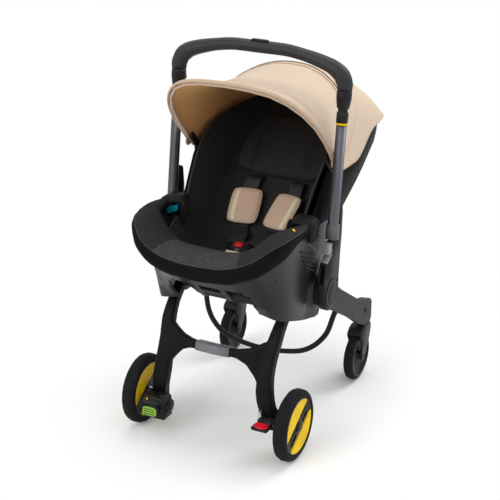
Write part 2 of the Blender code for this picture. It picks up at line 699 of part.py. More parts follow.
AXLE_IN_X = .1440
CAP_R, CAP_T = .0150, .0035
axle_profile = [(0, WHEEL_X + HUB_FACE + GAP + CAP_T), (CAP_R - .003, WHEEL_X + HUB_FACE + GAP + CAP_T),
                (CAP_R, WHEEL_X + HUB_FACE + GAP + CAP_T - .0018), (CAP_R, WHEEL_X + HUB_FACE + GAP),
                (AXLE_R, WHEEL_X + HUB_FACE + GAP), (AXLE_R, AXLE_IN_X), (0, AXLE_IN_X)]
for name, side in (("right", 1), ("left", -1)):
    place = (side * WHEEL_X, 0, WHEEL_R)
    wheel_axis[name] = pivot("wheel_axis_" + name, place, hub_axis)
    add("tyre_" + name, turned_mesh("tyre", tyre_profile, place, "X", WHEEL_STEPS), "rubber",
        wheel_axis[name])
    pockets = crescents_and_ring(side, GAP)
    wheel = carve(turned_mesh("wheel", wheel_profile, place, "X", WHEEL_STEPS), pockets, "wheel")
    add("wheel_" + name, wheel, "grey_plastic", wheel_axis[name])
    first, *others = crescents_and_ring(side, 0)
    add("wheel_inset_" + name, carve(first, others, "inset", "UNION"), "yellow", wheel_axis[name])
    axle = turned_mesh("axle", axle_profile, (0, 0, WHEEL_R), "X", 16)
    add("wheel_axle_" + name, axle if side > 0 else mirrored(axle, "axle_left"), "steel", hub_axis)

# Caster arms: flat plates from the hub down to the swivel housings
ARM_HUB_R = .0360
BOSS_R = .0165
BOSS_LOW_Z = .1515
BOSS_TOP_Z = .2150
STEM_TOP_Z = .2030
arm_outline = circle(HUB_Y, HUB_Z, ARM_HUB_R, 10, math.radians(52), math.radians(196), True) + [
    (.175, .3290), (.230, .2880), (.330, .2280), (.400, .1790), (.440, .1580), (.478, .1540), (.4860, .1630),
    (.4860, .2100), (.4760, .2210), (.446, .2290), (.379, .2600), (.270, .3300)]
stem_hole = turned_mesh("stem_hole", rod(STEM_R + GAP, BOSS_LOW_Z - .01, STEM_TOP_Z + .001, 0),
                        (CASTER_X, STEM_Y, 0), "Z", 12)
boss = turned_mesh("boss", rod(BOSS_R, BOSS_LOW_Z, BOSS_TOP_Z, .003), (CASTER_X, STEM_Y, 0), "Z", 16)
caster_plate = plate_mesh("caster_arm", arm_outline, CASTER_ARM_T, (CASTER_ARM_IN_X + CASTER_ARM_OUT_X) / 2,
                          [(HUB_Y, HUB_Z, PIN_R + RUN)])
caster_arm = carve(carve(caster_plate, [boss], "caster_arm", "UNION"), [stem_hole], "caster_arm")
both("caster_arm", caster_arm, "grey_plastic", arms_axis)

# Link bar: one bent tube between the caster arms
LINK_END = (CASTER_ARM_IN_X - 2 * GAP, .2850, .2640)
LINK = [(.1860, .2850, .2640), (.1800, .2815, .2450), (.1700, .2730, .2060), (.1540, .2640, .1800),
        (.1300, .2575, .1580), (.1000, .2525, .1440), (.0500, .2498, .1345)]
add("link_bar", tube_mesh("link_bar", two_sided(LINK, [(0, .2490, .1315)], 3, LINK_END), LINK_R, resolution=2,
                          smooth_path=False), "black_plastic", arms_axis)

# Casters
fork_out = CASTER_W / 2 + FORK_GAP + FORK_T
fork_slot = CASTER_W / 2 + FORK_GAP
FORK_FOOT_R = .0130
fork_outline = circle(CASTER_AXLE_Y, CASTER_R, FORK_FOOT_R, 7, math.radians(190), math.radians(150), True) + [
    (.4680, .0850), (.4820, .1080), (.4900, .1330), (.4890, .1440), (.4845, FORK_TOP_Z), (.4480, FORK_TOP_Z),
    (.4360, .1470), (.4240, .1380), (.4200, .1280), (.4330, .1050)]
slot_cut = turned_mesh("fork_slot", [(0, fork_slot), (CASTER_R + .0025, fork_slot),
                                     (CASTER_R + .0025, -fork_slot),
                                     (0, -fork_slot)], (CASTER_X, CASTER_AXLE_Y, CASTER_R), "X", 24)
fork_body = plate_mesh("fork", fork_outline, 2 * fork_out, CASTER_X,
                       [(CASTER_AXLE_Y, CASTER_R, CASTER_AXLE_R + GAP)], .0018)
fork_stem = turned_mesh("fork_stem", rod(STEM_R, FORK_TOP_Z - .004, STEM_TOP_Z), (CASTER_X, STEM_Y, 0),
                        "Z", 12)
fork = carve(carve(fork_body, [slot_cut], "fork"), [fork_stem], "fork", "UNION")
ct, cr = CASTER_W / 2, CASTER_R
caster_tyre_profile = [(cr - .0080, ct), (cr - .0020, ct - .0035), (cr, ct - .0090), (cr, -ct + .0090),
                       (cr - .0020, -ct + .0035), (cr - .0080, -ct), (cr - CASTER_TYRE, -ct + .001),
                       (cr - CASTER_TYRE, ct - .001)]
caster_in = cr - CASTER_TYRE - GAP
caster_axle_end = fork_out - .0010
caster_wheel_profile = [(0, caster_axle_end), (CASTER_AXLE_R, caster_axle_end), (CASTER_AXLE_R, ct),
                        (.0125, ct),
                        (.0135, .0050), (caster_in - .0045, .0050), (caster_in, ct - .0030),
                        (caster_in, -ct + .0030), (caster_in - .0045, -.0050), (.0135, -.0050), (.0125, -ct),
                        (CASTER_AXLE_R, -ct), (CASTER_AXLE_R, -caster_axle_end), (0, -caster_axle_end)]
for name, side in (("right", 1), ("left", -1)):
    swivel = pivot("swivel_axis_" + name, (side * CASTER_X, STEM_Y, CASTER_R), arms_axis)
    roll = pivot("caster_axis_" + name, (side * CASTER_X, CASTER_AXLE_Y, CASTER_R), swivel)
    place = (side * CASTER_X, CASTER_AXLE_Y, CASTER_R)
    add("fork_" + name, fork if side > 0 else mirrored(fork, "fork_left"), "grey_plastic", swivel)
    add("caster_tyre_" + name, turned_mesh("caster_tyre", caster_tyre_profile, place, "X", CASTER_STEPS),
        "rubber", roll)
    add("caster_wheel_" + name, turned_mesh("caster_wheel", caster_wheel_profile, place, "X", CASTER_STEPS),
        "black_plastic", roll)

# Handle arms: blade casings with a fin behind the tube
tube_dir = Vector((0, math.sin(TUBE_LEAN), math.cos(TUBE_LEAN)))
ARM_SHOULDER_Z = TUBE_FOOT[1] - GAP - .0028
ARM_DISC_R = .0425
arm_casing = circle(HUB_Y, HUB_Z, ARM_DISC_R, 11, math.radians(178), math.radians(184), True) + [
    (.2085, .400), (.2130, .450), (.2200, .500), (.2225, .555), (.2180, .6000), (.2125, .6040), (.2050, .560),
    (.1985, .5050), (.1950, ARM_SHOULDER_Z), (.1630, ARM_SHOULDER_Z), (.1630, .4680), (.1345, .4530),
    (.1260, .4400), (.1195, .4200), (.1205, .3900)]
BUTTON_LOW = (ARM_IN_X + .0015, .1450, .4720)
BUTTON_HIGH = (ARM_OUT_X - .0015, .1675, .4940)
BUTTON_TRAVEL = .0030
BUTTON_PLAY = .0004
pocket = block_mesh("button_pocket",
                    (BUTTON_LOW[0] - BUTTON_PLAY, BUTTON_LOW[1], BUTTON_LOW[2] - BUTTON_PLAY),
                    (BUTTON_HIGH[0] + BUTTON_PLAY, BUTTON_HIGH[1] + BUTTON_TRAVEL + GAP,
                     BUTTON_HIGH[2] + BUTTON_PLAY), 0)
RECESS_WALL = .0020
RECESS_DEEP_Y = .1400
arm_recess = block_mesh("arm_recess", (ARM_IN_X + RECESS_WALL, .1000, .4040),
                        (ARM_OUT_X - RECESS_WALL, RECESS_DEEP_Y, .4470), 0)
disc_seat = turned_mesh("disc_seat", rod(DISC_R + GAP, ARM_OUT_X - DISC_SINK - GAP, ARM_OUT_X + .01, 0),
                        (0, HUB_Y, HUB_Z), "X", 24)
arm_plate = plate_mesh("arm", arm_casing, ARM_T, (ARM_IN_X + ARM_OUT_X) / 2, [(HUB_Y, HUB_Z, PIN_R + GAP)],
                       .003)
both("arm", carve(arm_plate, [pocket, arm_recess, disc_seat], "arm"), "grey_plastic", handle_axis)
both("arm_button", block_mesh("arm_button", BUTTON_LOW, BUTTON_HIGH, .0020), "light_plastic", handle_axis)

# Handle tubes with their collars, yellow ring caps and telescoping stems
tube_in_r = TUBE_R - TUBE_WALL
TUBE_FLOOR = .0100
tube_profile = [(0, TUBE_FLOOR), (tube_in_r, TUBE_FLOOR), (tube_in_r, TUBE_LENGTH), (TUBE_R, TUBE_LENGTH),
                (TUBE_R, COLLAR_H + .0020), (COLLAR_R, COLLAR_H), (COLLAR_R, 0), (0, 0)]
tube_place = (TUBE_X, *TUBE_FOOT)
both("handle_tube", turned_mesh("handle_tube", tube_profile, tube_place, "T", 18), "slate_metal", handle_axis)
ring_low = TUBE_LENGTH + GAP
ring_top = ring_low + RING_H
ring_profile = [(TUBE_R + .0008, ring_top), (TUBE_R + .0008, ring_low), (tube_in_r, ring_low),
                (tube_in_r, ring_top)]
both("ring_cap", turned_mesh("ring_cap", ring_profile, tube_place, "T", 18), "yellow", handle_axis)
collar_low = ring_top + GAP
stem_profile = [(0, CONNECTOR_TOP), (.0165, CONNECTOR_TOP), (.0180, CONNECTOR_TOP - .006),
                (.0178, CONNECTOR_TOP - .020),
                (.0145, CONNECTOR_TOP - .041), (.0115, CONNECTOR_TOP - .043), (.0115, CONNECTOR_TOP - .050),
                (.0138, CONNECTOR_TOP - .052), (.0138, collar_low), (STEM_TUBE_R, collar_low),
                (STEM_TUBE_R, TUBE_LENGTH - STEM_HIDDEN), (0, TUBE_LENGTH - STEM_HIDDEN)]
both("handle_stem", turned_mesh("handle_stem", stem_profile, tube_place, "T", 16), "black_plastic",
     slide_axis)

# Grip: one padded bow between the stems, with the telescope button on top
GRIP_LEAD = .0120
grip_end = Vector(tube_place) + tube_dir * (CONNECTOR_TOP + GAP)
grip_foot = grip_end + tube_dir * GRIP_LEAD
GRIP_SIDE = [(0, 0), (-.0075, .0190), (-.0195, .0301), (-.0355, .0391), (-.0655, .0486),
             (-.0955, .0556), (-.1255, .0608), (-.1555, .0637)]
grip_half = [(grip_foot.x + x, grip_foot.y, grip_foot.z + z) for x, z in GRIP_SIDE]
grip_top = (0, grip_foot.y, GRIP_TOP_Z)
grip_path = two_sided(grip_half, [grip_top], 2, tuple(grip_end))
grip_radii = [GRIP_END_R - .002, GRIP_END_R, GRIP_END_R, .0195, .0178, .0164, GRIP_MID_R, GRIP_MID_R,
              GRIP_MID_R]
grip_radii = grip_radii + [GRIP_MID_R] + grip_radii[::-1]
grip = add("grip", tube_mesh("grip", grip_path, GRIP_MID_R, grip_radii, resolution=2, smooth_path=False),
           "leatherette",
           slide_axis)
GRIP_BUTTON_HALF = (.0215, .0060)
GRIP_BUTTON_TRAVEL = .0020
button_floor = GRIP_TOP_Z + .0075
button_top = GRIP_TOP_Z + GRIP_MID_R + .0025
grip_pocket = block_mesh("grip_pocket", (-GRIP_BUTTON_HALF[0] - .0006,
                                         grip_foot.y - GRIP_BUTTON_HALF[1] - .0006,
                                         button_floor),
                         (GRIP_BUTTON_HALF[0] + .0006, grip_foot.y + GRIP_BUTTON_HALF[1] + .0006,
                          button_top + .02), 0)
cut(grip, add_cutter("grip_pocket_cut", grip_pocket))
add("grip_button", block_mesh("grip_button", (-GRIP_BUTTON_HALF[0], grip_foot.y - GRIP_BUTTON_HALF[1],
                                              button_floor + GRIP_BUTTON_TRAVEL + GAP),
                              (GRIP_BUTTON_HALF[0], grip_foot.y + GRIP_BUTTON_HALF[1], button_top), .0015),
    "black_plastic", slide_axis)

# Brakes: a housing at the front of each leg foot and a pedal hinged on it, flat on the right side and
# upright on the left
BRAKE_BOX = {"right": ((.1330, -.0520, .0925), (.1730, -.0270, .1125)),
             "left": ((.1120, -.0610, .0460), (.1740, -.0200, .1040))}
PEDAL_BOX = {"right": ((.1300, -.0820, .0970), (.1740, -.0525, .1060)),
             "left": ((.1240, -.0740, .0590), (.1670, -.0615, .0860))}
PEDAL_HINGE_Z = {"right": .1015, "left": .0840}
for name, look in (("right", "red"), ("left", "green")):
    body = block_mesh("brake_housing", *BRAKE_BOX[name], .004, 2)
    pedal = block_mesh("brake_pedal", *PEDAL_BOX[name], .0035, 2)
    (low_x, low_y, low_z), (high_x, high_y, high_z) = PEDAL_BOX[name]
    middle_x = (low_x + high_x) / 2
    if name == "left":
        body, pedal, middle_x = mirrored(body, "housing_left"), mirrored(pedal, "pedal_left"), -middle_x
    brake_axis = pivot("brake_axis_" + name, (middle_x, high_y, PEDAL_HINGE_Z[name]), hub_axis)
    cut(add("brake_housing_" + name, body, "black_plastic", hub_axis), leg_keep)
    add("brake_pedal_" + name, pedal, look, brake_axis)

# Brake cable, held behind the legs and the crossbar
CABLE_R = .0016
CABLE_END = (.1445, .0085, .1120)
CABLE = [(.1440, .0060, .1180), (.1405, .0036, .1400), (.1375, .0032, .1650), (.1355, .0115, .1985),
         (.1290, .0150, .2110), (.1200, .0165, .2220), (.1080, .0145, .2325), (.0880, .0108, .2392),
         (.0450, .0068, .2427)]
add("brake_cable", tube_mesh("brake_cable", two_sided(CABLE, [(0, .0048, .2427)], 2, CABLE_END), CABLE_R,
                             resolution=1, smooth_path=False), "rubber", hub_axis)

# Padded foot rim: a crescent cushion whose ring of seven points runs round the foot end
RIM = [  # outer seam, crown, inner edge, inner foot, underside, outer foot, outer bulge
    [(0, -.1160, .500), (0, -.065, .517), (0, -.0140, .503), (0, -.0110, .470), (0, -.050, .457),
     (0, -.100, .456),
     (0, FOOT_END_Y, .477)],
    [(.080, -.1130, .506), (.078, -.064, .523), (.075, -.0130, .509), (.072, -.0110, .475),
     (.078, -.048, .461),
     (.080, -.098, .461), (.082, -.1190, .482)],
    [(.138, -.1000, .527), (.130, -.052, .546), (.118, -.0085, .536), (.116, -.0060, .490),
     (.128, -.036, .479),
     (.135, -.082, .478), (.140, -.1040, .499)],
    [(.172, -.0740, .551), (.160, -.033, .569), (.142, .003, .558), (.1395, .005, .520), (.155, -.012, .499),
     (.168, -.058, .497), (.1755, -.0780, .522)],
    [(.194, -.0350, .563), (.180, -.005, .577), (.160, .020, .566), (.1575, .027, .535), (.170, .030, .518),
     (.188, -.020, .515), (.1985, -.0360, .543)],
    [(.199, .0200, .562), (.188, .040, .573), (.170, .055, .563), (.1660, .062, .538), (.176, .070, .527),
     (.190, .030, .527), (.2000, .0200, .548)],
    [(.196, .0850, .557), (.189, .0895, .564), (.178, .0915, .558), (.1765, .0925, .541), (.182, .0930, .536),
     (.191, .0880, .538), (.198, .0855, .547)],
]


def closed_rows(half):
    """Rings from the left end, round the middle, to the right end."""
    left = [[(-x, y, z) for x, y, z in ring] for ring in reversed(half[1:])]
    return left + half


def ring_fine(ring, steps):
    """A closed ring made finer by a smooth curve through its points."""
    wrapped = [ring[-1]] + list(ring) + [ring[0], ring[1]]
    path = spline_points(wrapped, steps)
    return path[steps:steps * (len(ring) + 1)]


def soft_loft(name, rings, along, around):
    """A padded body: smooth curves through rings of points, both round each ring and from ring to ring."""
    rows = [ring_fine(ring, around) for ring in rings]
    columns = [spline_points(column, along) for column in zip(*rows)]
    return loft_mesh(name, [list(row) for row in zip(*columns)], 60)


rim = add("rim_cushion", soft_loft("rim_cushion", closed_rows(RIM), 2, 2), "grey_cloth")
cut(rim, housing_keep)
cut(rim, shell_keep)

# Seat lining: the fabric surface that a child sits on, row by row as the tub, bolsters high at the sides
SEAT = [
    [(0, .000, .480), (0, .012, .462), (0, .032, .449), (0, .052, .442), (0, .060, .440)],
    [(.070, .000, .485), (.062, .012, .465), (.055, .032, .449), (.040, .052, .442), (0, .066, .439)],
    [(.108, .006, .498), (.098, .018, .475), (.086, .040, .453), (.062, .062, .442), (0, .080, .438)],
    [(.130, .016, .508), (.118, .030, .485), (.104, .057, .455), (.078, .082, .441), (0, .098, .436)],
    [(.144, .040, .514), (.130, .052, .490), (.114, .082, .455), (.086, .108, .439), (0, .122, .434)],
    [(.151, .080, .520), (.137, .087, .490), (.119, .117, .455), (.091, .140, .438), (0, .155, .433)],
    [(.155, .125, .530), (.141, .135, .500), (.122, .162, .462), (.093, .185, .443), (0, .200, .440)],
    [(.160, .180, .605), (.143, .197, .553), (.124, .228, .508), (.093, .250, .487), (0, .262, .482)],
    [(.166, .240, .668), (.143, .262, .610), (.124, .290, .560), (.092, .312, .540), (0, .325, .535)],
    [(.166, .315, .700), (.142, .338, .650), (.122, .358, .607), (.090, .375, .588), (0, .385, .583)],
    [(.160, .395, .712), (.137, .415, .680), (.116, .428, .648), (.085, .437, .632), (0, .445, .628)],
    [(.148, .480, .716), (.125, .487, .698), (.103, .492, .680), (.072, .495, .670), (0, .500, .665)],
    [(.122, .555, .718), (.100, .545, .708), (.080, .537, .697), (.055, .530, .690), (0, .530, .686)],
    [(.070, .602, .708), (.055, .583, .706), (.040, .565, .700), (.030, .550, .694), (0, .550, .692)],
    [(0, .613, .703), (0, .592, .702), (0, .575, .698), (0, .560, .694), (0, .560, .694)],
]
SEAT_HEART = (0, .25, .62)


def seat_surface(first=0, last=len(SEAT) - 1, edge=0, along=2, across=1):
    """Part of the seat surface, between two rows and inward from one level."""
    rows = fine_rows(SEAT, along, across)[int(first * along):int(last * along) + 1]
    return facing_out(sheet_bmesh([row[edge * across:] for row in rows]), SEAT_HEART)


liner = add("seat_liner", thick_mesh("seat_liner", seat_surface(), 0, LINER_T, 60), "black_cloth")
cut(liner, shell_keep)
liner_keep = add_cutter("liner_keepout", thick_mesh("liner_keepout", seat_surface(), -SOFT_GAP,
                                                    LINER_T + SOFT_GAP))


def cushion_on_seat(name, first, last, edge, thickness, rim_share, look, channels=()):
    """A crowned pad on the seat surface: thick in the middle, drawn in at its edges and along its channels."""
    bm = seat_surface(first, last, edge, 2, 2)
    bm.normal_update()
    low_y = min(v.co.y for v in bm.verts)
    high_y = max(v.co.y for v in bm.verts)
    half_x = max(abs(v.co.x) for v in bm.verts)
    out = bmesh.new()
    back, front = [], []
    for v in bm.verts:
        along = 2 * (v.co.y - low_y) / (high_y - low_y) - 1
        across = min(abs(v.co.x) / half_x, 1)
        crown = math.sqrt(max((1 - across ** 4) * (1 - along ** 6), 0))
        dent = sum(.4 * math.exp(-((abs(v.co.x) - at) / .006) ** 2) for at in channels)
        rise = thickness * (rim_share + (1 - rim_share) * crown) * (1 - dent)
        back.append(out.verts.new(v.co))
        front.append(out.verts.new(v.co - v.normal * (SOFT_GAP + rise)))
    bm.verts.index_update()
    for f in bm.faces:
        loop = [v.index for v in f.verts]
        out.faces.new([back[i] for i in loop])
        out.faces.new([front[i] for i in reversed(loop)])
    for e in bm.edges:
        if len(e.link_faces) == 1:
            a, b = e.verts[0].index, e.verts[1].index
            out.faces.new((back[a], back[b], front[b], front[a]))
    bm.free()
    piece = add(name, finish_mesh(out, name, 60), look)
    cut(piece, liner_keep)
    return piece


body_insert = cushion_on_seat("body_insert", 6, 8, 3, .0045, .60, "black_cloth", (.050,))
head_pad = cushion_on_seat("head_pad", 8.5, 11, 2, .030, .35, "black_cloth", (.045,))

# Shoulder pads: one on each strap, leaning in at the foot
PAD_HALF_W, PAD_HALF_T = .0385, .0085
PAD_FOOT, PAD_HEAD = Vector((.0440, .2130, .4812)), Vector((.0579, .2880, .5430))
PAD_SIDE = Vector((1, -.27, .036)).normalized()
pad_up = (PAD_HEAD - PAD_FOOT).normalized()
pad_out = PAD_SIDE.cross(pad_up).normalized()


def pad_rings(foot, head, side, out, half_w, half_t):
    """Sections of a pad: round cornered in outline, crowned across, drawn in at both ends."""
    rings = []
    for t, wide, deep in ((0, .62, .25), (.04, .86, .62), (.14, 1, .9), (.5, 1, 1), (.86, 1, .9),
                          (.96, .86, .62),
                          (1, .62, .25)):
        middle = foot.lerp(head, t)
        ring = []
        for i in range(12):
            a = 2 * math.pi * i / 12
            x = math.copysign(abs(math.cos(a)) ** .55, math.cos(a))
            y = math.copysign(abs(math.sin(a)) ** .8, math.sin(a))
            ring.append(middle + side * half_w * wide * x + out * half_t * deep * y)
        rings.append(ring)
    return rings


pad = loft_mesh("shoulder_pad", pad_rings(PAD_FOOT, PAD_HEAD, PAD_SIDE, pad_out, PAD_HALF_W, PAD_HALF_T), 60)
both("shoulder_pad", pad, "sand_cloth")

# Buckle: housing with a press button, on a short padded strap from the seat
BUCKLE_MIDDLE = Vector((0, .1165, .4560))
BUCKLE_SIZE = Vector((.0520, .0340, .0200))
BUCKLE_TILT = math.radians(13)
RED_SIZE = Vector((.0220, .0180, .0060))
RED_PROUD = .0020
RED_TRAVEL = .0025
buckle_turn = Matrix.Rotation(BUCKLE_TILT, 3, "X")


def buckle_block(name, size, offset, bevel, segments=2):
    """A block in the buckle's tilted frame."""
    middle = BUCKLE_MIDDLE + buckle_turn @ Vector(offset)
    return block_mesh(name, middle - size / 2, middle + size / 2, bevel, segments, buckle_turn)


red_middle = BUCKLE_SIZE.z / 2 + RED_PROUD - RED_SIZE.z / 2
red_room = Vector((2 * RUN, 2 * RUN, 0)) / 2
pocket_depth = RED_SIZE.z - RED_PROUD + RED_TRAVEL + GAP
buckle = add("buckle_housing", buckle_block("buckle_housing", BUCKLE_SIZE, (0, 0, 0), .0045), "black_plastic")
cut(buckle, add_cutter("buckle_pocket", buckle_block(
    "buckle_pocket", Vector((RED_SIZE.x, RED_SIZE.y, 2 * pocket_depth)) + red_room,
    (0, .0035, BUCKLE_SIZE.z / 2), 0)))
press_axis = pivot("buckle_button_axis", tuple(BUCKLE_MIDDLE), root)
add("buckle_button", buckle_block("buckle_button", RED_SIZE, (0, .0035, red_middle), .0012), "red",
    press_axis)
crotch = loft_mesh("crotch_strap", pad_rings(Vector((0, .0510, .4449)), Vector((0, .0962, .4513)),
                                             Vector((1, 0, 0)),
                                             Vector((0, -.21, .978)), .0280, .0052), 60)
cut(add("crotch_strap", crotch, "black_cloth"), liner_keep)

# Harness: two straps behind the pads that meet in the buckle's tongue
STRAP_HALF_W, STRAP_HALF_T = .0190, .0009
TONGUE_SIZE = Vector((.0440, .0100, .0036))
strap_back = -pad_out * (PAD_HALF_T + STRAP_HALF_T + GAP)
tongue_y = BUCKLE_SIZE.y / 2 + GAP + TONGUE_SIZE.y / 2
strap_foot = BUCKLE_MIDDLE + buckle_turn @ Vector((.0202, tongue_y, 0))
STRAP = [strap_foot, (.0300, .1780, .4640), PAD_FOOT + strap_back - pad_up * .0040, PAD_FOOT + strap_back,
         PAD_HEAD + strap_back, PAD_HEAD + strap_back + pad_up * .0060, (.0595, .3200, .5620),
         (.0595, .3500, .5570)]


def strap_mesh(name, points, half_w, half_t, side, steps):
    """A flat strap whose width stays along one side direction."""
    path = spline_points(points, steps)
    rings = []
    for i, spot in enumerate(path):
        ahead = (path[min(i + 1, len(path) - 1)] - path[max(i - 1, 0)]).normalized()
        across = (side - ahead * side.dot(ahead)).normalized()
        up = across.cross(ahead)
        rings.append([spot + across * half_w * a + up * half_t * b for a,
                      b in ((1, -1), (1, 1), (-1, 1), (-1, -1))])
    return loft_mesh(name, rings, 30)


strap = strap_mesh("strap", STRAP, STRAP_HALF_W, STRAP_HALF_T, PAD_SIDE, 1)
harness = add("harness_straps", buckle_block("harness_straps", TONGUE_SIZE, (0, tongue_y, 0), .0008, 1),
              "webbing")
cut(harness, add_cutter("strap_right_add", strap), "UNION")
cut(harness, add_cutter("strap_left_add", mirrored(strap, "strap_left")), "UNION")
cut(harness, liner_keep)

# Harness adjuster: a press button and its pull strap at the foot of the seat
ADJUST_TURN = Matrix.Rotation(math.radians(-26), 3, "X")
ADJUST_MIDDLE = Vector((0, .0355, .4535))
ADJUST_HALF = Vector((.0095, .0060, .0032))
adjust_axis = pivot("adjuster_axis", tuple(ADJUST_MIDDLE), root)
add("adjuster_button", block_mesh("adjuster_button", ADJUST_MIDDLE - ADJUST_HALF,
                                  ADJUST_MIDDLE + ADJUST_HALF, .0012, 1,
                                  ADJUST_TURN), "black_plastic", adjust_axis)
PULL = [(0, .0283, .4535), (0, .0138, .4635), (0, .0038, .4800), (0, .0028, .4890)]
pull = add("adjuster_strap", strap_mesh("adjuster_strap", PULL, .0120, STRAP_HALF_T, Vector((1, 0, 0)), 2),
           "webbing")
cut(pull, liner_keep)

# Belt guides: hooks over the seat's edge on both sides
GUIDE_Y = (.0960, .1360)
GUIDE = [(.199, .556), (.196, .561), (.185, .566), (.152, .566), (.143, .560), (.1395, .550), (.1395, .512),
         (.1435, .508), (.1465, .512), (.1475, .5475), (.152, .5525), (.168, .5525), (.1715, .549),
         (.1715, .515),
         (.199, .515)]
guide = plate_mesh("belt_guide", GUIDE, GUIDE_Y[1] - GUIDE_Y[0], 0)
guide.transform(Matrix.Translation((0, sum(GUIDE_Y) / 2, 0)) @ Matrix.Rotation(-math.pi / 2, 4, "Z"))
for hook in both("belt_guide", guide, "grey_plastic"):
    for keep in (housing_keep, shell_keep, liner_keep):
        cut(hook, keep)

# Release handle under the head end
RELEASE_TURN = Matrix.Rotation(math.radians(17), 3, "X")
RELEASE_HALF = Vector((.0450, .0160, .0060))
RELEASE_MIDDLE = Vector((0, .5650, .5950)) + RELEASE_TURN @ Vector((0, 0, -RELEASE_HALF.z - .0002))
release_axis = pivot("release_axis", tuple(RELEASE_MIDDLE), root)
add("release_handle", block_mesh("release_handle", RELEASE_MIDDLE - RELEASE_HALF,
                                 RELEASE_MIDDLE + RELEASE_HALF, .0040, 2,
                                 RELEASE_TURN), "black_plastic", release_axis)

# Canopy: a folding visor between the front bow and the fixed rear cover
FRONT_ANGLE, BACK_ANGLE, REAR_ANGLE = math.radians(-41), math.radians(40), math.radians(40.6)
FRONT_BOW = [(.1945, .020), (.1988, .060), (.1985, .120), (.1910, .180), (.1730, .230), (.1450, .270),
             (.1100, .295),
             (.0600, .308), (0, .312)]
BACK_BOW = [(.1920, .020), (.1895, .050), (.1790, .105), (.1620, .158), (.1400, .194), (.1130, .219),
            (.0800, .240),
            (.0400, .254), (0, .258)]
HEAD_HEM = [(.1900, .2900, .6320), (.1875, .340, .628), (.1850, .405, .630), (.1810, .490, .672),
            (.1760, .550, .676),
            (.1630, .6130, .676), (.1200, .6570, .675), (.060, .6650, .673), (0, .6665, .672)]


def on_bow(x, r, angle):
    """A point in the tilted plane of a bow through the canopy's pivots."""
    return Vector((x, CANOPY_PIVOT_Y + r * math.sin(angle), CANOPY_PIVOT_Z + r * math.cos(angle)))


def cloth_rows(first, last, bulge, lean):
    """Rows of stretched cloth between two edges, standing out a little in the middle."""
    rows = []
    for step in range(CLOTH_STEPS + 1):
        t = step / CLOTH_STEPS
        row = []
        for j, (a, b) in enumerate(zip(first, last)):
            outward = (lean + Vector((3 * a.x, 0, 0))).normalized()
            row.append(a.lerp(b, t) + outward * bulge * j / (len(first) - 1) * math.sin(math.pi * t))
        rows.append(row)
    return rows


CLOTH_STEPS = 4
VISOR_BULGE, REAR_BULGE = -.026, .030
visor_rows = cloth_rows([on_bow(x, r, FRONT_ANGLE) for x, r in FRONT_BOW],
                        [on_bow(x, r, BACK_ANGLE) for x, r in BACK_BOW],
                        VISOR_BULGE, Vector((0, .07, .99)))
CANOPY_HEART = (0, .25, .70)
visor = facing_out(sheet_bmesh(visor_rows), CANOPY_HEART)
add("canopy_visor", thick_mesh("canopy_visor", visor, 0, -CANOPY_T, 60), "sand_cloth")
rear_rows = cloth_rows([on_bow(x, r, REAR_ANGLE) for x, r in BACK_BOW], [Vector(p) for p in HEAD_HEM],
                       REAR_BULGE,
                       Vector((0, .539, .842)))
rear = facing_out(sheet_bmesh(rear_rows), CANOPY_HEART)
canopy_rear = add("canopy_rear", thick_mesh("canopy_rear", rear, 0, -CANOPY_T, 60), "sand_cloth")
cut(canopy_rear, shell_keep)

# Front bow: a bent rod with a pivot disc at each end
BOW_DEPTH = CANOPY_T + BOW_R + .0012
BOW_BACK = .0040
BOW_DISC = (.1822, .1868)
BOW_DISC_R = .0080


def under_cloth(j):
    """The bow's middle under one point of the visor's front edge."""
    edge, behind = visor_rows[0], visor_rows[1]
    along = (behind[j] - edge[j]).normalized()
    beside = Vector((-1, 0, 0)) if j == len(edge) - 1 else (edge[j + 1] - edge[j - 1]).normalized()
    inward = along.cross(beside).normalized()
    if inward.dot(Vector(CANOPY_HEART) - edge[j]) < 0:
        inward.negate()
    return edge[j] + inward * BOW_DEPTH + along * BOW_BACK


bow_half = [on_bow(.1880, .012, FRONT_ANGLE)] + [under_cloth(j) for j in range(1, len(FRONT_BOW) - 1)]
bow_end = on_bow(sum(BOW_DISC) / 2, 0, FRONT_ANGLE)
bow_top = under_cloth(len(FRONT_BOW) - 1)
bow = add("canopy_bow", tube_mesh("canopy_bow", two_sided([tuple(p) for p in bow_half], [tuple(bow_top)], 1,
                                                          tuple(bow_end)), BOW_R, resolution=1,
                                                          smooth_path=False),
          "black_plastic", canopy_axis)
bow_disc = turned_mesh("bow_disc", rod(BOW_DISC_R, *BOW_DISC), (0, CANOPY_PIVOT_Y, CANOPY_PIVOT_Z), "X", 16)
cut(bow, add_cutter("bow_disc_right_add", bow_disc), "UNION")
cut(bow, add_cutter("bow_disc_left_add", mirrored(bow_disc, "bow_disc_left")), "UNION")

# The whole object moves so that it stands centred front to back
bpy.context.view_layer.update()
graph = bpy.context.evaluated_depsgraph_get()
reach = [(piece.matrix_world @ Vector(corner)).y for piece in parts.objects
         for corner in piece.evaluated_get(graph).bound_box]
root.location = (0, -(min(reach) + max(reach)) / 2, 0)
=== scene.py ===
"""Looks for the car seat stroller: materials, soft goods, trim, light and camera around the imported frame."""
import json
import math

import bmesh
import bpy
from mathutils import Matrix, Vector, noise
from mathutils.bvhtree import BVHTree

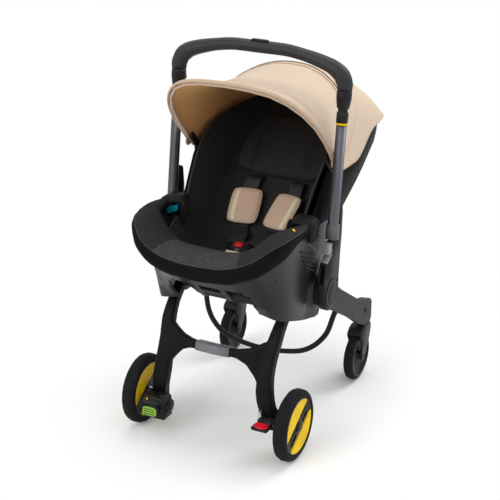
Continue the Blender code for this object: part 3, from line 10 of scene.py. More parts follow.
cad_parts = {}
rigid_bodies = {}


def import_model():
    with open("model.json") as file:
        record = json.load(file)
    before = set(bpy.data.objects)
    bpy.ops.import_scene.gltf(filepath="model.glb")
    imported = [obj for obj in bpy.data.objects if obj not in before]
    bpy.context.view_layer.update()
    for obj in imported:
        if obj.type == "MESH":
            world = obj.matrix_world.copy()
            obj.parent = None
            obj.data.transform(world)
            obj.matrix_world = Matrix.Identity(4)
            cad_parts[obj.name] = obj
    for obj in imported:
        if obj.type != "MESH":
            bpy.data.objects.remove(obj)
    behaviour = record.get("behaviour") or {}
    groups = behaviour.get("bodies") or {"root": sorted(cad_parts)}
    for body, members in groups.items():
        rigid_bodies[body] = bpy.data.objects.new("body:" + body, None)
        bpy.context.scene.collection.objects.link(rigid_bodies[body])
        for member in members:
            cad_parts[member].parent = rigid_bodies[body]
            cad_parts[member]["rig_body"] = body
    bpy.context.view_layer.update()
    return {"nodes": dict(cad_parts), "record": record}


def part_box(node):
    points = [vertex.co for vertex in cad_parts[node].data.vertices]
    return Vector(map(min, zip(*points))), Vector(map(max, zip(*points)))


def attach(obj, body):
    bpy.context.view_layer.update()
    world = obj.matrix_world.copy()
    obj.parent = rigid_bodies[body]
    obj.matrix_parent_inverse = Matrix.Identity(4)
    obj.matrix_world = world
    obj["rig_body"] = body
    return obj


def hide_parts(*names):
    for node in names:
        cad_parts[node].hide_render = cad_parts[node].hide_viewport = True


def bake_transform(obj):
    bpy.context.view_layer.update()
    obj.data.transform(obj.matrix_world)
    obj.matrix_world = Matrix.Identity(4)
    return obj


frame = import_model()
NODES = frame["nodes"]
RECORD = frame["record"]
SLOT = {s["node"]: s["material_slot"] for s in RECORD["subparts"]}
SEAT_BODY = "car_seat"

# Every point below is written with the big wheels' axle at Y = 0; SHIFT takes it to the frame.
axle_low, axle_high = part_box("tyre_right")
SHIFT = Vector((0, (axle_low.y + axle_high.y) / 2, 0))
WHEEL_MIDDLE_Z = (axle_low.z + axle_high.z) / 2
SIDES = (("right", 1), ("left", -1))


# Materials
WHITE = (1, 1, 1, 1)


def feed(tree, made, **values):
    """Sets or links a node's inputs, named with underscores for spaces; other names are its settings."""
    for key, value in values.items():
        socket = made.inputs.get(key.replace("_", " "))
        if socket is None:
            setattr(made, key, value)
        elif isinstance(value, bpy.types.NodeSocket):
            tree.links.new(value, socket)
        else:
            socket.default_value = value
    return made


def node(tree, kind, **values):
    return feed(tree, tree.nodes.new("ShaderNode" + kind), **values)


def combined(tree, operation, first, second):
    """The result of a two-sided Math node."""
    made = node(tree, "Math", operation=operation)
    tree.links.new(first, made.inputs[0])
    tree.links.new(second, made.inputs[1])
    return made.outputs["Value"]


def mixed(tree, factor, first, second):
    """One shader faded into another."""
    made = node(tree, "MixShader", Fac=factor)
    tree.links.new(first, made.inputs[1])
    tree.links.new(second, made.inputs[2])
    return made.outputs["Shader"]


def material(name, color, rough, metallic=0.0, coat=0.0, sheen=0.0, spec=0.5):
    mat = bpy.data.materials.new(name)
    mat.use_nodes = True
    tree = mat.node_tree
    bsdf = feed(tree, tree.nodes["Principled BSDF"], Base_Color=(*color, 1), Roughness=rough,
                Metallic=metallic, Coat_Weight=coat, Specular_IOR_Level=spec, Sheen_Weight=sheen,
                Sheen_Roughness=.5)
    mat.diffuse_color = (*color, 1)
    return mat, tree, bsdf


def object_space(tree):
    return node(tree, "TexCoord").outputs["Object"]


def noise_tex(tree, scale, detail=3.0, rough=.55, stretch=None):
    spots = object_space(tree)
    if stretch:
        spots = node(tree, "Mapping", Scale=stretch, Vector=spots).outputs["Vector"]
    return node(tree, "TexNoise", Scale=scale, Detail=detail, Roughness=rough, Vector=spots).outputs["Fac"]


def ramp(tree, fac, stops):
    made = node(tree, "ValToRGB", Fac=fac)
    marks = made.color_ramp.elements
    while len(marks) < len(stops):
        marks.new(1)
    for mark, (at, color) in zip(marks, stops):
        mark.position = at
        mark.color = (*color, 1)
    return made.outputs["Color"]


def bump(tree, bsdf, height, distance, strength=1.0):
    made = node(tree, "Bump", Distance=distance, Strength=strength, Height=height)
    last = bsdf.inputs["Normal"].links
    if last:
        feed(tree, made, Normal=last[0].from_socket)
    feed(tree, bsdf, Normal=made.outputs["Normal"])


def rough_from(tree, bsdf, fac, low, high):
    feed(tree, bsdf, Roughness=node(tree, "MapRange", To_Min=low, To_Max=high, Value=fac).outputs["Result"])


def shade(color, factor):
    return tuple(min(c * factor, 1) for c in color)


def mottle(tree, bsdf, fac, color, dark, light):
    """Colour that drifts between a darker and a lighter shade."""
    feed(tree, bsdf, Base_Color=ramp(tree, fac, [(.3, shade(color, dark)), (.7, shade(color, light))]))


def moulded(name, color, rough=.42, grain=1500, depth=.00006, coat=0.0, spec=.16):
    """Moulded plastic: a fine spark-eroded grain, slightly uneven gloss and colour."""
    mat, tree, bsdf = material(name, color, rough, coat=coat, spec=spec)
    mottle(tree, bsdf, noise_tex(tree, 22, 4), color, .88, 1.14)
    rough_from(tree, bsdf, noise_tex(tree, 60, 3), rough - .07, rough + .09)
    bump(tree, bsdf, noise_tex(tree, grain, 2), depth)
    return mat


def metal_tube(name, color, rough=.34):
    """Anodised tube: fine lines drawn along its length."""
    mat, tree, bsdf = material(name, color, rough, metallic=.75)
    lines = noise_tex(tree, 900, 2, stretch=(1, 1, .03))
    mottle(tree, bsdf, lines, color, .9, 1.12)
    rough_from(tree, bsdf, noise_tex(tree, 40, 3), rough - .05, rough + .08)
    bump(tree, bsdf, lines, .00003)
    return mat


def weave_height(tree, pitch):
    """A plain weave's height, from a set of bands on each of three axes."""
    spots = object_space(tree)
    total = None
    for axis in ("X", "Y", "Z"):
        wave = node(tree, "TexWave", bands_direction=axis, Scale=1 / (pitch * 20 / math.tau * 2),
                    Distortion=.6, Detail=1, Vector=spots).outputs["Fac"]
        total = combined(tree, "ADD", total, wave) if total else wave
    return total


def cloth(name, color, rough=.85, pitch=.0011, depth=.00022, heather=.12, speck=None, sheen=.05, spec=.1):
    """Woven cloth: weave relief, yarn to yarn colour change and soft larger unevenness."""
    mat, tree, bsdf = material(name, color, rough, sheen=sheen, spec=spec)
    yarn = noise_tex(tree, 900, 3, .7, stretch=(1, .35, 1))
    base = ramp(tree, yarn, [(.32, shade(color, 1 - heather)), (.68, shade(color, 1 + heather))])
    if speck:
        fibres = noise_tex(tree, 420, 4, .8, stretch=(1, .6, 1))
        flecks = ramp(tree, fibres, [(.52, (0, 0, 0)), (.66, (1, 1, 1))])
        base = node(tree, "Mix", data_type="RGBA", Factor=flecks, A=base, B=(*speck, 1)).outputs["Result"]
    feed(tree, bsdf, Base_Color=base, Sheen_Tint=(*shade(color, 1.6), 1))
    rough_from(tree, bsdf, noise_tex(tree, 35, 3), rough - .08, min(rough + .08, 1))
    bump(tree, bsdf, noise_tex(tree, 55, 3), .0009, .5)
    bump(tree, bsdf, weave_height(tree, pitch), depth)
    return mat


def leatherette(name, color, rough=.46):
    mat, tree, bsdf = material(name, color, rough, spec=.22)
    cells = node(tree, "TexVoronoi", feature="DISTANCE_TO_EDGE", Scale=620, Vector=object_space(tree))
    cloud = noise_tex(tree, 60, 4)
    mottle(tree, bsdf, cloud, color, .85, 1.25)
    rough_from(tree, bsdf, cloud, rough - .08, rough + .1)
    bump(tree, bsdf, cells.outputs["Distance"], .0003, .7)
    return mat


def rubber(name, color=(.0095, .0095, .0105)):
    mat, tree, bsdf = material(name, color, .72, spec=.08)
    mottle(tree, bsdf, noise_tex(tree, 90, 4), color, .8, 1.5)
    rough_from(tree, bsdf, noise_tex(tree, 30, 3), .62, .84)
    bump(tree, bsdf, noise_tex(tree, 1200, 2), .0001)
    return mat


BLACK = moulded("black_plastic", (.0115, .0115, .0130), .42)
GLOSS_BLACK = moulded("gloss_black_plastic", (.012, .012, .013), .24, grain=2400, depth=.00002)
HOUSING = moulded("housing_grey_plastic", (.0150, .0158, .0180), .33, grain=1300, depth=.00009, spec=.24)
SHELL = moulded("shell_dark_plastic", (.0050, .0052, .0058), .50, grain=1300, depth=.00009, spec=.02)
ARM_GREY = moulded("arm_grey_plastic", (.0140, .0146, .0160), .42, spec=.07)
LIGHT_GREY = moulded("light_grey_plastic", (.250, .255, .265), .45)
WHEEL_GREY = moulded("wheel_grey_plastic", (.036, .038, .041), .42)
COATED = moulded("coated_frame", (.0060, .0064, .0074), .44, grain=2600, depth=.00004, spec=.07)
COATED_GREY = moulded("coated_caster_frame", (.0125, .0130, .0148), .44, grain=2600, depth=.00004, spec=.12)
SLEEVE = moulded("sleeve_grey", (.150, .155, .165), .38, grain=2200, depth=.00003)
TUBE = metal_tube("slate_tube", (.078, .078, .094))
STEEL = metal_tube("axle_steel", (.45, .45, .46), .28)
YELLOW = moulded("yellow_plastic", (.78, .50, .0015), .34, grain=2600, depth=.000006, spec=.10)
RED = moulded("red_plastic", (.62, .008, .022), .34, grain=2200, depth=.00002, coat=.1)
GREEN = moulded("green_rubber", (.215, .400, .055), .55)
GREEN_DARK = moulded("green_rubber_groove", (.070, .100, .012), .6)
COLLAR_GREY = moulded("collar_grey", (.100, .103, .107), .48)
TEAL = moulded("teal_plastic", (.002, .215, .290), .34, grain=2200, depth=.00002)
TYRE = rubber("tyre_rubber")
GRIP = leatherette("grip_leatherette", (.0215, .0217, .0240))

LOOKS = {
    "seat_shell": (SHELL, 50), "base_housing": (HOUSING, 38), "base_rail": (BLACK, 30),
    "canopy_bow": (BLACK, 60), "buckle_housing": (GLOSS_BLACK, 45), "buckle_button": (RED, 45),
    "adjuster_button": (BLACK, 45), "release_handle": (BLACK, 45), "grip": (GRIP, 75),
    "grip_button": (BLACK, 45), "leg_frame": (COATED, 40), "crossbar_sleeve": (SLEEVE, 40),
    "link_bar": (COATED_GREY, 75), "brake_cable": (BLACK, 75), "brake_pedal_left": (BLACK, 40),
    "brake_pedal_right": (BLACK, 40),
}
PAIRED_LOOKS = {
    "arm": (ARM_GREY, 35), "hub_pin": (ARM_GREY, 40), "handle_tube": (TUBE, 50), "ring_cap": (YELLOW, 50),
    "handle_stem": (BLACK, 42), "tyre": (TYRE, 60), "wheel": (WHEEL_GREY, 35), "wheel_axle": (STEEL, 40),
    "brake_housing": (BLACK, 35), "belt_guide": (ARM_GREY, 45), "caster_arm": (COATED_GREY, 35),
    "fork": (BLACK, 40), "caster_tyre": (TYRE, 60), "caster_wheel": (BLACK, 35),
}
for side, _ in SIDES[::-1]:
    LOOKS.update({f"{name}_{side}": look for name, look in PAIRED_LOOKS.items()})


# Pieces
def linked(name, mesh, look, smooth=40, shift=True):
    """An object from a mesh, smooth up to an angle, moved into the frame."""
    if shift:
        mesh.transform(Matrix.Translation(SHIFT))
    for face in mesh.polygons:
        face.use_smooth = True
    if smooth < 180:
        mesh.set_sharp_from_angle(angle=math.radians(smooth))
    piece = bpy.data.objects.new(name, mesh)
    bpy.context.scene.collection.objects.link(piece)
    if look and not mesh.materials:
        mesh.materials.append(look)
    return piece


def from_bmesh(bm, name, look, smooth=40):
    mesh = bpy.data.meshes.new(name)
    bm.to_mesh(mesh)
    bm.free()
    return linked(name, mesh, look, smooth)


def trim(bm, name, look, smooth, body, slot):
    """A piece from a bmesh that rides on a body."""
    piece = from_bmesh(bm, name, look, smooth)
    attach(piece, body)
    return piece


def loft(bm, rings, closed=False):
    """Faces between rings of vertices, with a cap at each end unless the rings come round to the first."""
    count = len(rings[0])
    for a, b in zip(rings, rings[1:] + rings[:1] if closed else rings[1:]):
        for k in range(count):
            bm.faces.new((a[k], a[(k + 1) % count], b[(k + 1) % count], b[k]))
    if not closed:
        bm.faces.new(rings[0][::-1])
        bm.faces.new(rings[-1])


def round_angles(count):
    return [math.tau * k / count for k in range(count)]


def cells(n_i, n_j):
    """The places of each grid cell's corners, once round."""
    for i in range(n_i - 1):
        for j in range(n_j - 1):
            yield (i, j), (i, j + 1), (i + 1, j + 1), (i + 1, j)


def border(n_i, n_j):
    """Places of a grid's outermost points, once round."""
    return ([(0, j) for j in range(n_j)] + [(i, n_j - 1) for i in range(1, n_i)]
            + [(n_i - 1, j) for j in range(n_j - 2, -1, -1)] + [(i, 0) for i in range(n_i - 2, 0, -1)])


def sew(bm, front, back):
    """Joins two grids of vertices along their borders."""
    edge = border(len(front), len(front[0]))
    for (a, b), (c, d) in zip(edge, edge[1:] + edge[:1]):
        bm.faces.new((front[a][b], back[a][b], back[c][d], front[c][d]))
    bmesh.ops.recalc_face_normals(bm, faces=bm.faces)


def flipped(p, way=-1):
    """The same point on the other side, or on the side that way gives."""
    return Vector((p.x * way, p.y, p.z))


def heading(path, i):
    """Direction of a path at one of its points."""
    return (path[min(i + 1, len(path) - 1)] - path[max(i - 1, 0)]).normalized()


def skin_tree(name):
    """A skin's faces for rays to meet."""
    mesh = SKINS[name].data
    return BVHTree.FromPolygons([v.co for v in mesh.vertices],
                                [tuple(face.vertices) for face in mesh.polygons])


SKINS = {}
ROUNDED = {"leg_frame": (.0020, 14)}
SLOT["brake_pedal_left"] = SLOT["brake_pedal_right"] = "dark_plastic"


def rounded_over(mesh, voxel, passes):
    """Cast and moulded edges: the solid rebuilt on a fine grid and smoothed a little."""
    holder = bpy.data.objects.new("rounding", mesh)
    bpy.context.scene.collection.objects.link(holder)
    grid = holder.modifiers.new("grid", "REMESH")
    grid.mode, grid.voxel_size = "VOXEL", voxel
    soften = holder.modifiers.new("soften", "SMOOTH")
    soften.factor, soften.iterations = .5, passes
    built = bpy.data.meshes.new_from_object(holder.evaluated_get(bpy.context.evaluated_depsgraph_get()))
    bpy.data.objects.remove(holder)
    return built


def dress(name, look, smooth):
    """The CAD solid's own shape with joined faces and smooth shading, standing for the node."""
    bm = bmesh.new()
    bm.from_mesh(NODES[name].data)
    bmesh.ops.remove_doubles(bm, verts=bm.verts, dist=2e-6)
    bmesh.ops.recalc_face_normals(bm, faces=bm.faces)
    mesh = bpy.data.meshes.new(name + "_skin")
    bm.to_mesh(mesh)
    bm.free()
    if name in ROUNDED:
        mesh = rounded_over(mesh, *ROUNDED[name])
        mesh.materials.clear()
        smooth = 180
    piece = linked(name + "_skin", mesh, look, smooth, shift=False)
    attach(piece, NODES[name]["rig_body"])
    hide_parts(name)
    SKINS[name] = piece


for name, (look, smooth) in LOOKS.items():
    dress(name, look, smooth)


# Shapes for the soft goods
def spline(points, steps):
    """Points on a smooth curve through the given ones, steps to a span."""
    spots = [Vector(p) for p in points]
    path = []
    for i in range(len(spots) - 1):
        a, b = spots[i], spots[i + 1]
        before, after = spots[max(i - 1, 0)], spots[min(i + 2, len(spots) - 1)]
        for step in range(steps):
            t = step / steps
            path.append(.5 * (2 * a + (b - before) * t + (2 * before - 5 * a + 4 * b - after) * t * t
                              + (3 * a - before - 3 * b + after) * t ** 3))
    path.append(spots[-1])
    return path


def finer(rows, along, across):
    """Rows of points made finer both ways."""
    wide = [spline(row, across) for row in rows]
    return [list(row) for row in zip(*[spline(column, along) for column in zip(*wide)])]


def whole(half_rows):
    """Full rows from half rows that end at X = 0: right side, middle, left side."""
    return [list(row) + [flipped(p) for p in reversed(row[:-1])] for row in half_rows]


def normals_of(rows, heart):
    """A normal for each point of a grid, away from a point inside."""
    found = []
    last_i, last_j = len(rows) - 1, len(rows[0]) - 1
    for i, row in enumerate(rows):
        line = []
        for j, spot in enumerate(row):
            along = rows[min(i + 1, last_i)][j] - rows[max(i - 1, 0)][j]
            across = row[min(j + 1, last_j)] - row[max(j - 1, 0)]
            normal = along.cross(across)
            if normal.length < 1e-12:
                normal = Vector((0, 0, 1))
            normal.normalize()
            if normal.dot(spot - Vector(heart)) < 0:
                normal.negate()
            line.append(normal)
        found.append(line)
    return found


def tube(name, path, radius, look, body=SEAT_BODY, sides=8, squash=1.0, closed=False, lift=None,
         slot="dark_cloth"):
    """A thin round or flattened cord along a path, as a mesh."""
    spots = [Vector(p) for p in path]
    bm = bmesh.new()
    rings = []
    up = Vector(lift) if lift else Vector((0, 0, 1))
    for i, spot in enumerate(spots):
        ahead = (spots[(i + 1) % len(spots)] - spots[i - 1]).normalized() if closed else heading(spots, i)
        across = ahead.cross(up)
        if across.length < 1e-4:
            across = ahead.cross(Vector((1, 0, 0)))
        across.normalize()
        out = across.cross(ahead).normalized()
        rings.append([bm.verts.new(spot + across * radius * math.cos(angle)
                                   + out * radius * squash * math.sin(angle))
                      for angle in round_angles(sides)])
    loft(bm, rings, closed)
    bmesh.ops.recalc_face_normals(bm, faces=bm.faces)
    return trim(bm, name, look, 70, body, slot)


STITCH = ((0, .35), (.25, 1), (.75, 1), (1, .35))    # share of its length, and its radius there


def stitches(name, path, look, pitch=.0042, length=.0026, radius=.00042, body=SEAT_BODY, slot="dark_cloth"):
    """A row of thread stitches that lie along a path."""
    spots = [Vector(p) for p in path]
    bm = bmesh.new()
    wait = 0.0
    for a, b in zip(spots, spots[1:]):
        span = (b - a).length
        if span < 1e-9:
            continue
        ahead = (b - a) / span
        at = wait
        while at + length <= span:
            foot = a + ahead * at
            side = ahead.orthogonal().normalized()
            turn = side.cross(ahead)
            rings = []
            for t, r in STITCH:
                middle = foot + ahead * length * t
                spokes = [side * math.cos(angle) + turn * math.sin(angle) for angle in round_angles(5)]
                rings.append([bm.verts.new(middle + spoke * radius * r) for spoke in spokes])
            loft(bm, rings)
            at += pitch
        wait = max(at - span, 0)
    return trim(bm, name, look, 80, body, slot)


def resampled(path, pitch):
    """The same line with points evenly spaced."""
    spots = [Vector(p) for p in path]
    total = sum((b - a).length for a, b in zip(spots, spots[1:]))
    count = max(int(total / pitch), 2)
    found, k, run = [spots[0]], 0, 0.0
    for n in range(1, count):
        want = total * n / count
        while k < len(spots) - 2 and run + (spots[k + 1] - spots[k]).length < want:
            run += (spots[k + 1] - spots[k]).length
            k += 1
        span = (spots[k + 1] - spots[k]).length
        found.append(spots[k].lerp(spots[k + 1], min((want - run) / max(span, 1e-9), 1)))
    return found + [spots[-1]]


CLOTH_FRAMES, CLOTH_QUALITY, CLOTH_MASS = 20, 6, .25
STIFFNESS, SHEAR_STIFFNESS, BENDING_STIFFNESS = 15.0, 5, .5


def swell(piece, pins, pressure=4.0, cap=.008):
    """Air pressure puffs a closed cloth shape out between its pinned seams, no point further than cap."""
    mesh = piece.data
    start = [v.co.copy() for v in mesh.vertices]
    group = piece.vertex_groups.new(name="pins")
    for index, weight in pins.items():
        group.add([index], weight, "REPLACE")
    modifier = piece.modifiers.new("cloth", "CLOTH")
    sets = modifier.settings
    sets.quality = CLOTH_QUALITY
    sets.mass = CLOTH_MASS
    sets.tension_stiffness = sets.compression_stiffness = STIFFNESS
    sets.shear_stiffness = SHEAR_STIFFNESS
    sets.bending_stiffness = BENDING_STIFFNESS
    sets.use_pressure = True
    sets.uniform_pressure_force = pressure
    sets.vertex_group_mass = "pins"
    sets.effector_weights.gravity = 0
    modifier.collision_settings.use_collision = False
    modifier.point_cache.frame_start, modifier.point_cache.frame_end = 1, CLOTH_FRAMES
    scene = bpy.context.scene
    for step in range(1, CLOTH_FRAMES + 1):
        scene.frame_set(step)
    graph = bpy.context.evaluated_depsgraph_get()
    done = piece.evaluated_get(graph).to_mesh()
    after = [v.co.copy() for v in done.vertices]
    piece.evaluated_get(graph).to_mesh_clear()
    piece.modifiers.remove(modifier)
    piece.vertex_groups.clear()
    scene.frame_set(1)
    for v, a, b in zip(mesh.vertices, start, after):
        move = b - a
        if move.length > cap:
            move *= cap / move.length
        v.co = a + move
    mesh.update()


SAND = cloth("sand_cloth", (.56, .45, .350), rough=.88, pitch=.0009, depth=.00012, heather=.07, sheen=.06)
SAND_TRIM = cloth("sand_trim", (.47, .345, .255), rough=.86, pitch=.0008, depth=.0001, heather=.05, sheen=.06)
# The canopy's inner side is the same sand cloth; its warm orange-brown is painted shade and painted light
# shining through the cloth.
LINING_PAINTED_BACKLIGHT = cloth("canopy_lining_painted_backlight", (.66, .37, .150), rough=.9, pitch=.0011, depth=.00012, heather=.08, sheen=.1)
SEAM_BROWN = cloth("seam_brown", (.20, .145, .10), rough=.9, pitch=.0007, depth=.0001)
SEAT_BLACK = cloth("seat_black", (.0225, .0235, .0265), rough=.78, pitch=.0012, depth=.00018, heather=.22,
                   sheen=.05)
PAD_BLACK = cloth("pad_black", (.0240, .0240, .0245), rough=.72, pitch=.0009, depth=.00012, heather=.2,
                  sheen=.08)
RIM_GREY = cloth("rim_grey", (.0200, .0205, .0220), rough=.8, pitch=.0012, depth=.0002, heather=.18,
                 sheen=.14)
RIM_BAND = cloth("rim_band", (.0060, .0064, .0075), rough=.62, pitch=.0009, depth=.00012, heather=.14,
                 sheen=0, spec=.02)
RIM_HEATHER = cloth("rim_heather", (.036, .0365, .039), rough=.86, pitch=.0016, depth=.0004, heather=.3,
                    speck=(.100, .100, .106), sheen=.06)
# The piping is real, but its colour is lighter than the piping itself, as a painted highlight along the edges
# it trims.
PIPING_PAINTED_HIGHLIGHT = cloth("dark_piping_painted_highlight", (.052, .053, .058), rough=.55, pitch=.0008, depth=.0001)
THREAD = cloth("thread", (.075, .077, .082), rough=.6, pitch=.0006, depth=.00005)
THREAD_SAND = cloth("sand_thread", (.50, .385, .27), rough=.7, pitch=.0006, depth=.00005)
STRAP = cloth("webbing", (.0145, .0145, .0155), rough=.55, pitch=.0015, depth=.0003, heather=.2, spec=.4)
PAD_BEIGE = cloth("pad_beige", (.62, .45, .335), rough=.82, pitch=.0009, depth=.00015, heather=.08, sheen=.25)
PAD_EDGE = cloth("pad_edge", (.47, .375, .285), rough=.7, pitch=.0008, depth=.0001)
REFLECT = cloth("reflective_strip", (.72, .66, .46), rough=.42, pitch=.0007, depth=.00008, heather=.04,
                spec=.6)


# Canopy
PIVOT = Vector((0, .25, .645))
FRONT_ANGLE, BACK_ANGLE = math.radians(-41), math.radians(40.3)
FRONT_BOW = [(.1945, .020), (.1988, .060), (.1985, .120), (.1910, .180), (.1730, .230), (.1450, .270),
             (.1100, .295), (.0600, .308), (0, .312)]
BACK_BOW = [(.1920, .020), (.1895, .050), (.1790, .105), (.1620, .158), (.1400, .194), (.1130, .219),
            (.0800, .240), (.0400, .254), (0, .258)]
HEAD_HEM = [(.1900, .2900, .6320), (.1875, .340, .628), (.1850, .405, .630), (.1810, .490, .672),
            (.1760, .550, .676), (.1630, .6130, .676), (.1200, .6570, .675), (.060, .6650, .673),
            (0, .6665, .672)]
CANOPY_HEART = (0, .25, .70)
CANOPY_T = .0020


def on_bow(x, r, angle):
    return Vector((x, PIVOT.y + r * math.sin(angle), PIVOT.z + r * math.cos(angle)))


def bow_line(bow, angle, steps=6):
    return spline([on_bow(x, r, angle) for x, r in bow], steps)


def stretched(first, last, bulge, lean, steps):
    """Cloth ruled between two edges and bowed in the middle, fuller towards the top."""
    rows = []
    top = len(first) - 1
    for step in range(steps + 1):
        t = step / steps
        row = []
        for j, (a, b) in enumerate(zip(first, last)):
            way = (lean + Vector((3 * a.x, 0, 0))).normalized()
            row.append(a.lerp(b, t) + way * bulge * j / top * math.sin(math.pi * t))
        rows.append(row)
    return rows


def smooth_step(low, high, value):
    t = min(max((value - low) / (high - low), 0), 1)
    return t * t * (3 - 2 * t)


def shell_sheet(name, rows, heart, relief, outer, inner, thick):
    """A cloth of real thickness from a grid: relief(i, j, point) lifts its face; its back is the lining."""
    normals = normals_of(rows, heart)
    bm = bmesh.new()
    face_side, back_side = [], []
    for i, row in enumerate(rows):
        for grid, deep in ((face_side, 0), (back_side, thick)):
            grid.append([bm.verts.new(p + normals[i][j] * (relief(i, j, p) - deep))
                         for j, p in enumerate(row)])
    for grid, index in ((face_side, 0), (back_side, 1)):
        for corners in cells(len(rows), len(rows[0])):
            quad = [grid[i][j] for i, j in corners]
            bm.faces.new(quad[::-1] if index else quad).material_index = index
    sew(bm, face_side, back_side)
    piece = from_bmesh(bm, name, None, 75)
    piece.data.materials.append(outer)
    piece.data.materials.append(inner)
    return piece


front_line = bow_line(FRONT_BOW, FRONT_ANGLE)
back_line = bow_line(BACK_BOW, BACK_ANGLE)
VISOR_STEPS = 30
visor_rows = whole(stretched(front_line, back_line, -.026, Vector((0, .07, .99)), VISOR_STEPS))
SEAM_AT = .052


def visor_relief(i, j, p):
    t = i / VISOR_STEPS
    high = 1 - abs(2 * j / (len(visor_rows[0]) - 1) - 1)
    loose = math.sin(math.pi * t)
    pull = noise.noise(Vector((p.x * 16, t * 2.2, p.z * 10))) * .0016 * loose * (.4 + .6 * high)
    ripple = noise.noise(Vector((p.x * 60, t * 5, p.z * 34))) * .0005 * loose
    seam = -.0013 * math.exp(-((t - SEAM_AT) / .012) ** 2) - .0010 * math.exp(-((t - .97) / .012) ** 2)
    hem = .0012 * (1 - smooth_step(.02, SEAM_AT, t)) + .0010 * smooth_step(.965, 1, t)
    return pull + ripple + seam + hem


visor = shell_sheet("visor_cloth", visor_rows, CANOPY_HEART, visor_relief, SAND, LINING_PAINTED_BACKLIGHT, CANOPY_T)
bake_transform(visor)
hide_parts("canopy_visor")


def edge_of(rows, i, lift):
    """A line on a grid's row, lifted off its face."""
    normals = normals_of(rows, CANOPY_HEART)
    return [p + normals[i][j] * lift for j, p in enumerate(rows[i])]


tube("visor_hem", edge_of(visor_rows, 0, -.0006), .0048, SAND_TRIM, "canopy_front", 12, .62,
     lift=(0, -.6, .8), slot="sand_cloth")
stitches("visor_stitches", edge_of(visor_rows, 2, .0006), THREAD_SAND, body="canopy_front", slot="sand_cloth")
tube("bow_seam", edge_of(visor_rows, VISOR_STEPS, .0016), .0014, SEAM_BROWN, slot="sand_cloth")
tube("bow_seam_front", edge_of(visor_rows, VISOR_STEPS - 1, .0012), .0009, SAND_TRIM, SEAT_BODY, 6,
     slot="sand_cloth")

REAR_STEPS = 36
hem_line = spline(HEAD_HEM, 6)
rear_rows = whole(stretched(back_line, hem_line, .030, Vector((0, .539, .842)), REAR_STEPS))
REAR_SEAM = .34


def evened(grid, pick):
    """Each value of a grid replaced by what pick makes of it and its neighbours."""
    n_i, n_j = len(grid), len(grid[0])
    return [[pick([grid[a][b] for a in range(max(i - 1, 0), min(i + 2, n_i))
                   for b in range(max(j - 1, 0), min(j + 2, n_j))]) for j in range(n_j)] for i in range(n_i)]


def over_shell(rows, room):
    """How far each point of a cloth has to rise for its back to clear the seat shell, evened out."""
    tree = skin_tree("seat_shell")
    normals = normals_of(rows, CANOPY_HEART)
    reach = .014
    rise = []
    for row, line in zip(rows, normals):
        hits = [tree.ray_cast(p + n * reach + SHIFT, -n, reach + .002) for p, n in zip(row, line)]
        rise.append([0 if hit[0] is None else max(0, reach - hit[3] + room) for hit in hits])
    rise = evened(rise, max)
    for _ in range(3):
        rise = evened(rise, lambda near: max(sum(near) / len(near), 0))
    return rise


rear_rise = over_shell(rear_rows, CANOPY_T + .0006)


def rear_relief(i, j, p):
    t = i / REAR_STEPS
    pull = noise.noise(Vector((p.x * 14, p.y * 12, p.z * 12))) * .0022 * math.sin(math.pi * min(t * 1.1, 1))
    ripple = noise.noise(Vector((p.x * 48, p.y * 40, p.z * 40))) * .0006
    seam = -.0016 * math.exp(-((t - REAR_SEAM) / .012) ** 2)
    band = .0010 * smooth_step(REAR_SEAM, REAR_SEAM + .03, t)
    return .0008 + pull + ripple + seam + band + rear_rise[i][j]


rear = shell_sheet("rear_cloth", rear_rows, CANOPY_HEART, rear_relief, SAND, LINING_PAINTED_BACKLIGHT, CANOPY_T)
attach(rear, SEAT_BODY)
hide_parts("canopy_rear")
rear_normals = normals_of(rear_rows, CANOPY_HEART)
risen = [[p + normal * (.001 + rise) for p, normal, rise in zip(*lines)]
         for lines in zip(rear_rows, rear_normals, rear_rise)]
side_edge = [row[0] for row in risen]
head_edge = risen[-1]
far_edge = [flipped(p) for p in side_edge]
tube("rear_piping", side_edge + head_edge[1:-1] + far_edge[::-1], .0021, SAND_TRIM,
     slot="sand_cloth")
below = round(REAR_SEAM * REAR_STEPS) + 1
line = [p + normal * .0014 for p, normal in zip(rear_rows[below], rear_normals[below])]
stitches("rear_stitches", line, THREAD_SAND, slot="sand_cloth")

# Foot rim cushion
RIM = [  # outer seam, crown, inner edge, inner foot, underside, outer foot, outer bulge
    [(0, -.1160, .500), (0, -.065, .517), (0, -.0140, .503), (0, -.0110, .470),
     (0, -.050, .457), (0, -.100, .456), (0, -.1213, .477)],
    [(.080, -.1130, .506), (.078, -.064, .523), (.075, -.0130, .509), (.072, -.0110, .475),
     (.078, -.048, .461), (.080, -.098, .461), (.082, -.1190, .482)],
    [(.138, -.1000, .527), (.130, -.052, .546), (.118, -.0085, .536), (.116, -.0060, .490),
     (.128, -.036, .479), (.135, -.082, .478), (.140, -.1040, .499)],
    [(.172, -.0740, .551), (.160, -.033, .569), (.142, .003, .558), (.1395, .005, .520),
     (.155, -.012, .499), (.168, -.058, .497), (.1755, -.0780, .522)],
    [(.194, -.0350, .563), (.180, -.005, .577), (.160, .020, .566), (.1575, .027, .535),
     (.170, .030, .518), (.188, -.020, .515), (.1985, -.0360, .543)],
    [(.199, .0200, .562), (.188, .040, .573), (.170, .055, .563), (.1660, .062, .538),
     (.176, .070, .527), (.190, .030, .527), (.2000, .0200, .548)],
    [(.196, .0850, .557), (.189, .0895, .564), (.178, .0915, .558), (.1765, .0925, .541),
     (.182, .0930, .536), (.191, .0880, .538), (.198, .0855, .547)],
]
RIM_ALONG, RIM_AROUND = 14, 8


def ring_fine(ring, steps):
    wrapped = [ring[-1]] + list(ring) + [ring[0], ring[1]]
    return spline(wrapped, steps)[steps:steps * (len(ring) + 1)]


